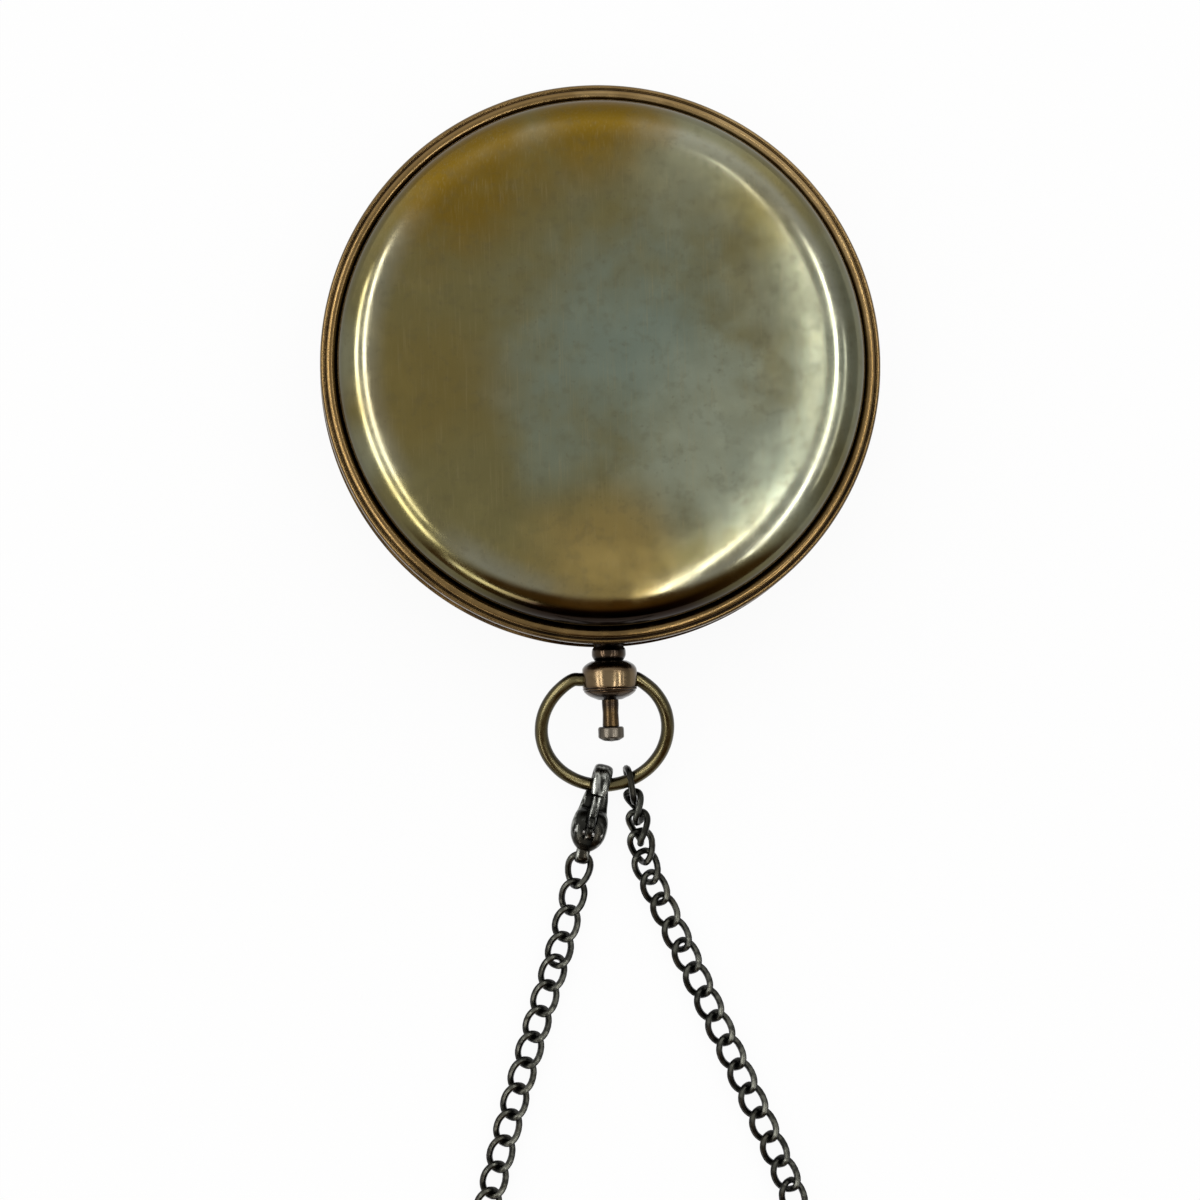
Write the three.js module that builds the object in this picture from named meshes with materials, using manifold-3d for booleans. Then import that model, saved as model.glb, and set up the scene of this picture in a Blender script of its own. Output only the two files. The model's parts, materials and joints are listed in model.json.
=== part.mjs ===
// A pocket sundial compass in a hunter case, lying on its back with the lid shut.
// Millimetres. +Z is up through the lid, +Y points to the lid's hinge, the pendant
// and its chain lie towards -Y, and the origin is the centre of the flat back.
import * as THREE from "three";
import { mergeVertices } from "three/addons/utils/BufferGeometryUtils.js";
import Module from "manifold-3d";

const wasm = await Module();
wasm.setup();

// Case: back, band and lid
const CASE_RADIUS = 28;
const SHEET = 0.6;
const BACK_FLAT = 19;
const BACK_INSET = 0.8;
const BACK_HEIGHT = 4.7;
const BAND_HEIGHT = 4.2;
const BAND_INSET = 0.5;
const BAND_WALL = 2.1;
const BEAD_INSET = 0.1;
const BEAD_HEIGHT = 0.6;
const BEAD_SLOPE = 0.35;
const LEDGE_DROP = 1.7;
const LEDGE_THICK = 1;
const LEDGE_WIDTH = 2.8;
const LID_GAP = 0.2;
const RIM_HEIGHT = 1.6;
const RIM_WIDTH = 1.4;
const RIM_SEAT = 0.4;
const GROOVE_WIDTH = 0.35;
const GROOVE_DEPTH = 0.7;
const LIP_DEPTH = 0.8;
const LIP_WALL = 0.4;
const LIP_CLEARANCE = 0.2;
const DOME_WALL = 0.3;
const DOME_RISE = 3.2;
const DOME_CROWN = 0.4;
const SHOULDER = 4.05;

// Fits
const FIT = 0.05;
const PLAY = 0.1;
const REST_GAP = 0.2;

// Lid hinge
const HINGE_INSET = 1;
const HINGE_DROP = 1.25;
const HINGE_RADIUS = 0.9;
const HINGE_PIN = 0.4;
const HINGE_HALF = 4;
const HINGE_MIDDLE = 1.4;

// Dial, gnomon and compass
const RING_THICK = 0.8;
const RING_BORE = 15.6;
const RING_SCREW_INSET = 1.6;
const SCREW_RADIUS = 0.45;
const SCREW_HEAD = 0.8;
const SCREW_HEAD_HEIGHT = 0.45;
const SCREW_SLOT = 0.25;
const GLASS_THICK = 0.9;
const GLASS_LAP = 0.8;
const BOWL_WALL = 0.9;
const BOWL_STEP = 0.6;
const BOWL_FLOOR = 0.8;
const CARD_THICK = 0.3;
const PIVOT_RADIUS = 0.55;
const PIVOT_HEIGHT = 3.3;
const NEEDLE_LENGTH = 27;
const NEEDLE_WIDTH = 3.2;
const NEEDLE_THICK = 0.3;
const CAP_RADIUS = 1.5;
const CAP_HUB = 1.05;
const GNOMON_LIFT = 0.75;
const GNOMON_BAR = 0.55;
const GNOMON_PLATE = 0.8;
const GNOMON_REACH = 15.9;
const STYLE_RUN = 13.4;
const LATITUDE = THREE.MathUtils.degToRad(42);
const TRUNNION = 0.42;
const POST_THICK = 1.5;
const POST_WIDTH = 2.4;

// Pendant, push button and bow
const SHANK_RADIUS = 1.35;
const COLLAR_RADIUS = 1.72;
const COLLAR_LENGTH = 2;
const BALL_RADIUS = 2.85;
const BALL_LENGTH = 3.9;
const STEM_RADIUS = 0.85;
const STEM_SHOW = 2.7;
const STEM_FOOT = 1.2;
const HEAD_RADIUS = 1.3;
const HEAD_LENGTH = 1.5;
const BUTTON_TRAVEL = 1;
const BOW_RADIUS = 6.42;
const BOW_WIRE = 1.36;
const BOW_REACH = 12.02;
const BOW_EAR = 3.16;
const BOW_REST = 1.63;
const BOW_TRUNNION = 1.6;
const BOW_SHIFT = -0.5;
const BOW_FLARE = 0.3;

// Lid catch and lift spring
const FINGER_HALF = 1.2;
const FINGER_THICK = 0.5;
const LEVER_DROP = 1.45;
const LEVER_HEIGHT = 1.1;
const LEVER_EYE = 1.15;
const LEVER_ANGLE = THREE.MathUtils.degToRad(-40);
const CATCH_PIN = 0.5;
const COIL_WIRE = 0.3;
const COIL_PITCH = 0.75;
const COIL_TURNS = 1.5;
const LIFT_THICK = 0.4;
const LIFT_SCREW = 0.3;
const LIFT_ARC = THREE.MathUtils.degToRad(40);

// Curb chain and spring clasp
const LINK_PITCH = 2.69;
const LINK_WIDTH = 2.95;
const LINK_WIRE = 0.62;
const LINK_BITE = 0.08;
const LINK_PLAY = 0.2;
const LINK_TOLERANCE = 0.04;
const LINK_TWIST = THREE.MathUtils.degToRad(45);
const CHAIN_LIE = 0.8;
const NEAR_LEFT = 4;
const NEAR_RIGHT = 6;
const MIDDLE_LINKS = 10;
const LOOP_LINKS = 57;
const LOOP_COLUMN = 15;
const LOOP_DROP = 13.9;
const LOOP_HEIGHT = 14.5;
const END_LINK = 3.5;
const CLASP_YAW = THREE.MathUtils.degToRad(15.8);
const CLASP_OFFSET = -1;
const CLASP_EYE = 9;
const CLASP_EYE_HEIGHT = 1.3;
const EYE_HOLE = 0.62;
const EYE_RADIUS = 1;
const GATE_PIVOT = 6.7;
const GATE_PIVOT_HEIGHT = 2.45;
const GATE_PIN = 0.3;
const GATE_THICK = 0.8;

// Levels and radii that follow from them
const BAND_TOP = BACK_HEIGHT + BAND_HEIGHT;
const BAND_OUT = CASE_RADIUS - BAND_INSET;
const BAND_IN = BAND_OUT - BAND_WALL;
const LEDGE_TOP = BAND_TOP - LEDGE_DROP;
const LEDGE_FOOT = LEDGE_TOP - LEDGE_THICK;
const LEDGE_IN = BAND_IN - LEDGE_WIDTH;
const RIM_FOOT = BAND_TOP + LID_GAP;
const RIM_TOP = RIM_FOOT + RIM_HEIGHT;
const DOME_SEAT = RIM_FOOT + RIM_SEAT;
const DOME_RADIUS = CASE_RADIUS - RIM_WIDTH - GROOVE_WIDTH;
const DOME_SPRING = RIM_TOP + DOME_WALL;
const DOME_TOP = DOME_SPRING + DOME_RISE + DOME_CROWN;
const LIP_OUT = BAND_IN - LIP_CLEARANCE;
const LIP_IN = LIP_OUT - LIP_WALL;
const RING_TOP = LEDGE_TOP + RING_THICK;
const RING_OUT = BAND_IN - REST_GAP;
const HINGE_Y = CASE_RADIUS - HINGE_INSET;
const HINGE_Z = BAND_TOP - HINGE_DROP;
const PENDANT_Z = BACK_HEIGHT + BAND_HEIGHT / 2;
const COLLAR_START = BAND_OUT + PLAY;
const BALL_START = COLLAR_START + COLLAR_LENGTH;
const BALL_END = BALL_START + BALL_LENGTH;
const BOW_Y = -(BALL_START + BALL_LENGTH * 0.46);
const FINGER_OUT = LIP_IN - REST_GAP - PLAY;
const SLOT_HALF = FINGER_HALF + 0.9 * BUTTON_TRAVEL;
const SLOT_IN = FINGER_OUT - FINGER_THICK - BUTTON_TRAVEL - 2 * REST_GAP;
const LIFT_OUT = BAND_IN - REST_GAP;

const group = new THREE.Group();
const UP = new THREE.Vector3(0, 0, 1);
const BRASS = { color: 0x8a7648, roughness: 0.34, metalness: 1 };
const GOLD = { color: 0xa07c42, roughness: 0.3, metalness: 1 };
const STEEL = { color: 0x8f8f8c, roughness: 0.32, metalness: 1 };
const GUNMETAL = { color: 0x55534e, roughness: 0.34, metalness: 1 };
const SILVERED = { color: 0xbdb9aa, roughness: 0.45, metalness: 0.8 };
const BLUED = { color: 0x27365c, roughness: 0.3, metalness: 0.9 };
const PAPER = { color: 0xe8dfc6, roughness: 0.8, metalness: 0 };
const GLASS = { color: 0xdce6e2, roughness: 0.05, metalness: 0 };

// A closed geometry as a solid that faces outwards.
function solid(geometry) {
  const plain = new THREE.BufferGeometry();
  plain.setAttribute("position", geometry.getAttribute("position"));
  plain.setIndex(geometry.index);
  const merged = mergeVertices(plain, 1e-4);
  const index = merged.index.array;
  const triangles = [];
  for (let i = 0; i < index.length; i += 3) {
    const [a, b, c] = index.slice(i, i + 3);
    if (a !== b && b !== c && c !== a) triangles.push(a, b, c);
  }
  const body = manifoldOf(merged.getAttribute("position").array, triangles);
  if (body.volume() > 0) return body;
  return manifoldOf(merged.getAttribute("position").array, triangles.reverse());
}

function manifoldOf(points, triangles) {
  const vertProperties = new Float32Array(points);
  const triVerts = new Uint32Array(triangles);
  return new wasm.Manifold(new wasm.Mesh({ numProp: 3, vertProperties, triVerts }));
}

// A solid as a named mesh of the group.
function add(name, body, finish) {
  const shape = body.getMesh();
  const geometry = new THREE.BufferGeometry();
  geometry.setAttribute("position", new THREE.BufferAttribute(shape.vertProperties, 3));
  geometry.setIndex(new THREE.BufferAttribute(shape.triVerts, 1));
  geometry.computeVertexNormals();
  const mesh = new THREE.Mesh(geometry, new THREE.MeshStandardMaterial(finish));
  mesh.name = name;
  group.add(mesh);
}

// A profile of [radius, height] turned about Z.
function turned(profile, segments = 40) {
  const points = profile.map(([r, z]) => new THREE.Vector2(r, z));
  if (profile[0][0] > 0) points.push(points[0].clone());
  return solid(new THREE.LatheGeometry(points, segments).rotateX(Math.PI / 2));
}

// A profile of [radius, distance] turned about the pendant's axis, outwards along -Y.
function turnedOut(profile, segments = 20) {
  const points = profile.map(([r, d]) => new THREE.Vector2(r, -d));
  if (profile[0][0] > 0) points.push(points[0].clone());
  return solid(new THREE.LatheGeometry(points, segments).translate(0, 0, PENDANT_Z));
}

function block(x0, x1, y0, y1, z0, z1) {
  const box = new THREE.BoxGeometry(x1 - x0, y1 - y0, z1 - z0);
  return solid(box.translate((x0 + x1) / 2, (y0 + y1) / 2, (z0 + z1) / 2));
}

function rodZ(x, y, radius, z0, z1, sides = 12) {
  const rod = new THREE.CylinderGeometry(radius, radius, z1 - z0, sides);
  return solid(rod.rotateX(Math.PI / 2).translate(x, y, (z0 + z1) / 2));
}

function rodX(y, z, radius, x0, x1, sides = 16) {
  const rod = new THREE.CylinderGeometry(radius, radius, x1 - x0, sides);
  return solid(rod.rotateZ(Math.PI / 2).translate((x0 + x1) / 2, y, z));
}

function rodY(x, z, radius, y0, y1, sides = 12) {
  const rod = new THREE.CylinderGeometry(radius, radius, y1 - y0, sides);
  return solid(rod.translate(x, (y0 + y1) / 2, z));
}

// An outline of [x, y] points drawn up by a thickness, centred on its plane.
function plate(outline, thickness, holes = []) {
  const shape = new THREE.Shape(outline.map(([x, y]) => new THREE.Vector2(x, y)));
  for (const hole of holes) {
    shape.holes.push(new THREE.Path(hole.map(([x, y]) => new THREE.Vector2(x, y))));
  }
  const settings = { depth: thickness, bevelEnabled: false };
  return new THREE.ExtrudeGeometry(shape, settings).translate(0, 0, -thickness / 2);
}

// A quarter of an ellipse from its side (at the first angle) round to its top or foot.
function quarter(r0, z0, width, height, steps, falling = false) {
  const points = [];
  for (let i = 0; i <= steps; i += 1) {
    const a = (Math.PI / 2) * (falling ? 1 - i / steps : i / steps);
    points.push([r0 + width * Math.cos(a), z0 + height * Math.sin(a)]);
  }
  return points;
}

function circle(x, y, radius, sides) {
  const points = [];
  for (let i = 0; i < sides; i += 1) {
    const a = (2 * Math.PI * i) / sides;
    points.push([x + radius * Math.cos(a), y + radius * Math.sin(a)]);
  }
  return points;
}

// Polar place on the plan of the case.
function polar(radius, angle) {
  return [radius * Math.cos(angle), radius * Math.sin(angle)];
}

// Back: a shallow dish that the case rests on
const backOut = CASE_RADIUS - BACK_INSET;
const backWide = backOut - BACK_FLAT;
add("back_cover", turned([
  [0, 0],
  ...quarter(BACK_FLAT, BACK_HEIGHT, backWide, -BACK_HEIGHT, 6, true),
  ...quarter(BACK_FLAT, BACK_HEIGHT, backWide - SHEET, SHEET - BACK_HEIGHT, 6),
  [0, SHEET],
]), BRASS);

// Band: the case's middle, with a bead round its foot and a ledge for the dial
const beadOut = CASE_RADIUS - BEAD_INSET;
const beadFoot = BACK_HEIGHT + BEAD_SLOPE;
const beadTop = beadFoot + BEAD_HEIGHT;
let band = turned([
  [BAND_IN, BACK_HEIGHT],
  [BAND_OUT, BACK_HEIGHT],
  [beadOut, beadFoot],
  [beadOut, beadTop],
  [BAND_OUT, beadTop + BEAD_SLOPE],
  [BAND_OUT, BAND_TOP - BEAD_SLOPE],
  [BAND_OUT - BEAD_SLOPE, BAND_TOP],
  [BAND_IN, BAND_TOP],
  [BAND_IN, LEDGE_TOP],
  [LEDGE_IN, LEDGE_TOP],
  [LEDGE_IN, LEDGE_FOOT],
  [BAND_IN, LEDGE_FOOT],
]);
const notchIn = HINGE_Y - HINGE_RADIUS - REST_GAP;
const notchFoot = HINGE_Z - HINGE_RADIUS - REST_GAP;
const notchHalf = HINGE_HALF + REST_GAP;
const liftHalf = FINGER_HALF + REST_GAP;
const beyond = CASE_RADIUS + SHEET;
const ledgeCut = [LEDGE_FOOT - SHEET, LEDGE_TOP + FIT];
const liftAngle = Math.PI / 2 + 0.9 * LIFT_ARC;
const liftZ = LEDGE_FOOT - LEVER_DROP + LEVER_HEIGHT / 2;
band = band.subtract(rodY(0, PENDANT_Z, SHANK_RADIUS + FIT, -beyond, -LEDGE_IN, 20));
band = band.subtract(rodY(0, PENDANT_Z, COLLAR_RADIUS + FIT, -beyond, -BAND_OUT, 20));
band = band.subtract(block(-SLOT_HALF, SLOT_HALF, -BAND_IN, 1 - LEDGE_IN, ...ledgeCut));
band = band.subtract(block(-liftHalf, liftHalf, LEDGE_IN - 1, BAND_IN, ...ledgeCut));
band = band.subtract(block(-notchHalf, notchHalf, notchIn, beyond, notchFoot, RIM_FOOT));

// Screws: a slotted cheese head on a plain shank, the head standing on z = 0
function screw(length, radius) {
  const head = (SCREW_HEAD / SCREW_RADIUS) * radius;
  const body = turned([
    [0, -length],
    [radius, -length],
    [radius, 0],
    [head, 0],
    [head, 0.7 * SCREW_HEAD_HEIGHT],
    [0.8 * head, SCREW_HEAD_HEIGHT],
    [0, SCREW_HEAD_HEIGHT],
  ], 10);
  const half = SCREW_SLOT / 2;
  return body.subtract(block(-head, head, -half, half, 0.5 * SCREW_HEAD_HEIGHT, 1));
}

// Hour ring: the sundial's chapter ring, screwed down on the ledge
let ring = turned([
  [RING_BORE, LEDGE_TOP],
  [RING_OUT, LEDGE_TOP],
  [RING_OUT, RING_TOP],
  [RING_BORE, RING_TOP],
]);
ring = ring.subtract(block(-SLOT_HALF, SLOT_HALF, -BAND_IN, -SLOT_IN, LEDGE_FOOT, BAND_TOP));
ring = ring.subtract(block(-liftHalf, liftHalf, LIP_IN - SHEET, BAND_IN, LEDGE_FOOT, BAND_TOP));
const screwDepth = RING_THICK + 0.7 * LEDGE_THICK;
for (let i = 0; i < 4; i += 1) {
  const [x, y] = polar(RING_OUT - RING_SCREW_INSET, Math.PI / 4 + (i * Math.PI) / 2);
  const hole = rodZ(x, y, SCREW_RADIUS + FIT, RING_TOP - screwDepth - PLAY, BAND_TOP, 10);
  band = band.subtract(hole);
  ring = ring.subtract(hole);
  add(`ring_screw_${i + 1}`, screw(screwDepth, SCREW_RADIUS).translate([x, y, RING_TOP]), GOLD);
}
add("hour_ring", ring, SILVERED);

// Lift spring: a leaf along the band whose upturned finger pops the lid
const liftIn = LIFT_OUT - LIFT_THICK;
const liftFoot = LEDGE_FOOT - LEVER_DROP;
const leaf = [];
const leafSteps = 8;
for (let i = 0; i <= leafSteps; i += 1) {
  leaf.push(polar(LIFT_OUT, Math.PI / 2 + (LIFT_ARC * i) / leafSteps));
}
for (let i = leafSteps; i >= 0; i -= 1) {
  leaf.push(polar(liftIn, Math.PI / 2 + (LIFT_ARC * i) / leafSteps));
}
const leafMiddle = liftFoot + LEVER_HEIGHT / 2;
let lift = solid(plate(leaf, LEVER_HEIGHT).translate(0, 0, leafMiddle));
const liftTop = RIM_FOOT - LIP_DEPTH - REST_GAP;
const liftY = [liftIn, liftIn + 0.7 * LIFT_THICK];
lift = lift.add(block(-FINGER_HALF, FINGER_HALF, ...liftY, liftFoot, liftTop));
const liftBore = new THREE.CylinderGeometry(LIFT_SCREW + FIT, LIFT_SCREW + FIT, 3, 10);
const liftPlace = new THREE.Matrix4().makeRotationZ(liftAngle - Math.PI / 2);
liftPlace.multiply(new THREE.Matrix4().makeTranslation(0, BAND_IN, liftZ));
const liftHole = solid(liftBore.applyMatrix4(liftPlace));
band = band.subtract(liftHole);
add("lift_spring", lift.subtract(liftHole), STEEL);
const liftSpin = THREE.MathUtils.radToDeg(liftAngle);
const liftScrew = screw(LIFT_THICK + 0.6, LIFT_SCREW).rotate([0, -90, 0]);
const liftHead = polar(liftIn - PLAY, liftAngle);
add("lift_spring_screw", liftScrew.rotate([0, 0, liftSpin]).translate([...liftHead, liftZ]), STEEL);
add("case_band", band, BRASS);

// Lid: a pressed dome seated in a turned rim, with a lip that drops inside the band
const rimIn = CASE_RADIUS - RIM_WIDTH;
const rimBend = 0.35 * RIM_WIDTH;
const boreOut = DOME_RADIUS + FIT;
add("lid_rim", turned([
  [LIP_IN, RIM_FOOT - LIP_DEPTH],
  [LIP_OUT, RIM_FOOT - LIP_DEPTH],
  [LIP_OUT, RIM_FOOT],
  [CASE_RADIUS - rimBend, RIM_FOOT],
  [CASE_RADIUS, RIM_FOOT + rimBend],
  [CASE_RADIUS, RIM_TOP - 1.4 * rimBend],
  [CASE_RADIUS - 0.4 * rimBend, RIM_TOP - 0.4 * rimBend],
  [CASE_RADIUS - 1.4 * rimBend, RIM_TOP],
  [rimIn + 0.4 * rimBend, RIM_TOP - 0.2 * rimBend],
  [rimIn, RIM_TOP - 0.8 * rimBend],
  [boreOut, RIM_TOP - GROOVE_DEPTH],
  [boreOut, DOME_SEAT],
  [LIP_IN, DOME_SEAT],
]), GOLD);
const domeIn = DOME_RADIUS - SHEET;
const crownR = DOME_RADIUS - SHOULDER;
const crown = (z) => [[0.66 * crownR, z + 0.56 * DOME_CROWN], [0.33 * crownR, z + 0.89 * DOME_CROWN]];
add("lid_dome", turned([
  [0, DOME_TOP - SHEET],
  ...crown(DOME_TOP - DOME_CROWN - SHEET).reverse(),
  ...quarter(crownR, DOME_SPRING, SHOULDER - SHEET, DOME_RISE - SHEET, 5, true),
  [domeIn, DOME_SEAT],
  [DOME_RADIUS, DOME_SEAT],
  ...quarter(crownR, DOME_SPRING, SHOULDER, DOME_RISE, 7),
  ...crown(DOME_TOP - DOME_CROWN),
  [0, DOME_TOP],
]), BRASS);

// Hinge: two knuckles seated in the band's notch, one hanging from the rim, one pin
const pinBore = rodX(HINGE_Y, HINGE_Z, HINGE_PIN + FIT, -beyond, beyond, 12);
function knuckle(x0, x1, foot) {
  const barrel = rodX(HINGE_Y, HINGE_Z, HINGE_RADIUS, x0, x1);
  return barrel.add(foot).subtract(pinBore);
}
const inner = HINGE_MIDDLE + REST_GAP;
const seat = [notchIn, HINGE_Y, notchFoot, HINGE_Z];
add("case_knuckle_left", knuckle(-HINGE_HALF, -inner, block(-HINGE_HALF, -inner, ...seat)), GOLD);
add("case_knuckle_right", knuckle(inner, HINGE_HALF, block(inner, HINGE_HALF, ...seat)), GOLD);
const tab = [HINGE_Y - 0.8 * HINGE_RADIUS, HINGE_Y + 0.5 * HINGE_RADIUS, HINGE_Z, RIM_FOOT];
const middle = block(-HINGE_MIDDLE, HINGE_MIDDLE, ...tab);
add("lid_knuckle", knuckle(-HINGE_MIDDLE, HINGE_MIDDLE, middle), GOLD);
add("hinge_pin", rodX(HINGE_Y, HINGE_Z, HINGE_PIN, -HINGE_HALF, HINGE_HALF, 12), STEEL);

// Compass: a bowl under the hour ring, with its glass, card, pivot and needle
const glassOut = RING_BORE + GLASS_LAP;
const glassFoot = LEDGE_TOP - GLASS_THICK;
const bowlIn = glassOut + PLAY;
const bowlOut = bowlIn + BOWL_WALL;
const wellIn = bowlIn - BOWL_STEP;
const bowlFloor = SHEET + BOWL_FLOOR;
const pivotBore = PIVOT_RADIUS + FIT;
add("compass_bowl", turned([
  [pivotBore, SHEET],
  [bowlOut, SHEET],
  [bowlOut, LEDGE_TOP],
  [bowlIn, LEDGE_TOP],
  [bowlIn, glassFoot],
  [wellIn, glassFoot],
  [wellIn, bowlFloor],
  [pivotBore, bowlFloor],
], 32), BRASS);
const cardTop = bowlFloor + CARD_THICK;
add("compass_card", turned([
  [pivotBore, bowlFloor],
  [wellIn - PLAY, bowlFloor],
  [wellIn - PLAY, cardTop],
  [pivotBore, cardTop],
], 32), PAPER);
add("compass_glass", turned([
  [0, glassFoot],
  [glassOut, glassFoot],
  [glassOut, LEDGE_TOP],
  [0, LEDGE_TOP],
], 32), GLASS);
const pivotTip = cardTop + PIVOT_HEIGHT;
add("pivot_pin", turned([
  [0, SHEET + FIT],
  [PIVOT_RADIUS, SHEET + FIT],
  [PIVOT_RADIUS, pivotTip - 2.4 * PIVOT_RADIUS],
  [0, pivotTip],
], 10), STEEL);
const needleFoot = pivotTip - 0.4;
const needleTop = needleFoot + NEEDLE_THICK;
add("needle_cap", turned([
  [0, pivotTip + PLAY],
  [0.8 * PIVOT_RADIUS, needleFoot - NEEDLE_THICK],
  [CAP_RADIUS, needleFoot - NEEDLE_THICK],
  [CAP_RADIUS, needleFoot],
  [CAP_HUB, needleFoot],
  [CAP_HUB, needleTop + 0.2],
  [0.5 * CAP_HUB, needleTop + 0.7],
  [0, needleTop + 0.8],
], 12), GOLD);
const lozenge = [
  [NEEDLE_WIDTH / 2, 0],
  [0, NEEDLE_LENGTH / 2],
  [-NEEDLE_WIDTH / 2, 0],
  [0, -NEEDLE_LENGTH / 2],
];
const needle = plate(lozenge, NEEDLE_THICK, [circle(0, 0, CAP_HUB + FIT, 12).reverse()]);
add("compass_needle", solid(needle.translate(0, 0, needleFoot + NEEDLE_THICK / 2)), BLUED);

// Gnomon: folded flat on the dial, hinged along the noon line between two posts
const gnomonZ = RING_TOP + GNOMON_LIFT;
const styleRise = STYLE_RUN * Math.tan(LATITUDE);
const northFoot = GNOMON_REACH - 0.5;
const style = [[0, 0], [styleRise, STYLE_RUN]];
const window = [];
for (let i = 0; i <= 6; i += 1) {
  const t = i / 6;
  const bend = Math.sin(Math.PI * t);
  style.push([styleRise * (1 - t), STYLE_RUN + (northFoot - STYLE_RUN) * t - 1.6 * bend]);
}
for (const [h, y] of style) {
  window.push([1.5 + 0.5 * h, 4 + 0.55 * y]);
}
let gnomon = solid(plate(style, GNOMON_PLATE, [window.slice(0, -1).reverse()]));
gnomon = gnomon.add(rodY(0, 0, GNOMON_BAR, -GNOMON_REACH, GNOMON_REACH));
const postIn = GNOMON_REACH + REST_GAP;
const postOut = postIn + POST_THICK;
gnomon = gnomon.add(rodY(0, 0, TRUNNION, -postOut, postOut, 10));
add("gnomon", gnomon.translate([0, 0, gnomonZ]), GOLD);
const postTop = GNOMON_LIFT + TRUNNION + 0.5;
const half = POST_WIDTH / 2;
const postOutline = [[-half, 0], [half, 0], [0.6 * half, postTop], [-0.6 * half, postTop]];
const postHole = circle(0, GNOMON_LIFT, TRUNNION + PLAY, 10).reverse();
const post = solid(plate(postOutline, POST_THICK, [postHole]).rotateX(Math.PI / 2));
const postMiddle = (postIn + postOut) / 2;
add("gnomon_post_north", post.translate([0, postMiddle, RING_TOP]), GOLD);
add("gnomon_post_south", post.translate([0, -postMiddle, RING_TOP]), GOLD);

// Pendant: a neck through the band, and a ball bored for the button and the bow
const bore = STEM_RADIUS + PLAY;
const neckIn = BAND_IN - FIT;
const collarMiddle = (COLLAR_START + BALL_START) / 2;
add("pendant_neck", turnedOut([
  [bore, neckIn],
  [SHANK_RADIUS, neckIn],
  [SHANK_RADIUS, COLLAR_START],
  [COLLAR_RADIUS, COLLAR_START],
  [COLLAR_RADIUS, collarMiddle],
  [0.9 * COLLAR_RADIUS, BALL_START],
  [bore, BALL_START],
]), GOLD);
const ballProfile = [[bore, BALL_START]];
for (let i = 0; i <= 8; i += 1) {
  const t = i / 8;
  const swell = Math.pow(Math.sin(Math.PI * (0.1 + 0.8 * t)), 0.7);
  ballProfile.push([BALL_RADIUS * swell, BALL_START + BALL_LENGTH * t]);
}
ballProfile.push([bore, BALL_END]);
let ball = turnedOut(ballProfile, 24);
const bowBore = BOW_WIRE / 2 + PLAY;
const bowStop = BOW_TRUNNION - PLAY;
const bowMouth = (BOW_TRUNNION + BOW_EAR) / 2;
ball = ball.subtract(rodX(BOW_Y, PENDANT_Z, bowBore, bowStop, BALL_RADIUS + 1, 14));
ball = ball.subtract(rodX(BOW_Y, PENDANT_Z, bowBore, -BALL_RADIUS - 1, -bowStop, 14));
ball = ball.subtract(rodX(BOW_Y, PENDANT_Z, bowBore + BOW_FLARE, bowMouth, BALL_RADIUS + 1, 14));
ball = ball.subtract(rodX(BOW_Y, PENDANT_Z, bowBore + BOW_FLARE, -BALL_RADIUS - 1, -bowMouth, 14));
add("pendant_ball", ball, GOLD);

// Push button: a stem with a foot against the catch, and a turned head
const stemIn = FINGER_OUT + PLAY;
const stemOut = BALL_END + STEM_SHOW;
add("button_stem", turnedOut([
  [0, stemIn],
  [STEM_FOOT, stemIn],
  [STEM_FOOT, neckIn - REST_GAP],
  [STEM_RADIUS, neckIn - REST_GAP],
  [STEM_RADIUS, stemOut],
  [0, stemOut],
], 14), GOLD);
const headOut = stemOut + HEAD_LENGTH;
add("button_head", turnedOut([
  [0, stemOut],
  [0.88 * HEAD_RADIUS, stemOut],
  [HEAD_RADIUS, stemOut + 0.15 * HEAD_LENGTH],
  [HEAD_RADIUS, headOut - 0.3 * HEAD_LENGTH],
  [0.75 * HEAD_RADIUS, headOut - 0.08 * HEAD_LENGTH],
  [0, headOut],
], 16), GOLD);

// Catch: a lever under the ledge, its finger standing up through the dial behind the lip
const leverR = LEDGE_IN + LEDGE_WIDTH / 2;
const leverPivot = polar(leverR, LEVER_ANGLE);
const leverZ = [liftFoot, liftFoot + LEVER_HEIGHT];
const arm = [];
const armSteps = 7;
const armTurn = -Math.PI / 2 - LEVER_ANGLE;
const armOut = FINGER_OUT - FIT;
for (let i = 0; i <= armSteps; i += 1) {
  arm.push(polar(armOut, LEVER_ANGLE + (armTurn * i) / armSteps));
}
for (let i = armSteps; i >= 0; i -= 1) {
  arm.push(polar(armOut - FINGER_THICK, LEVER_ANGLE + (armTurn * i) / armSteps));
}
let lever = solid(plate(arm, LEVER_HEIGHT).translate(0, 0, leafMiddle));
lever = lever.add(rodZ(...leverPivot, LEVER_EYE, ...leverZ, 16));
const fingerY = [-FINGER_OUT, FINGER_THICK - FINGER_OUT];
lever = lever.add(block(-FINGER_HALF, FINGER_HALF, ...fingerY, liftFoot, DOME_SEAT + REST_GAP));
lever = lever.subtract(rodZ(...leverPivot, CATCH_PIN + PLAY, liftFoot - 1, LEDGE_FOOT, 12));
add("catch_lever", lever, STEEL);
const coilHeight = COIL_PITCH * COIL_TURNS + 2 * COIL_WIRE;
const pinFoot = liftFoot - coilHeight - PLAY;
const pin = rodZ(...leverPivot, CATCH_PIN, pinFoot, LEDGE_FOOT);
add("catch_pivot", pin.add(rodZ(...leverPivot, 2 * CATCH_PIN, pinFoot - 0.4, pinFoot)), STEEL);
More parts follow.
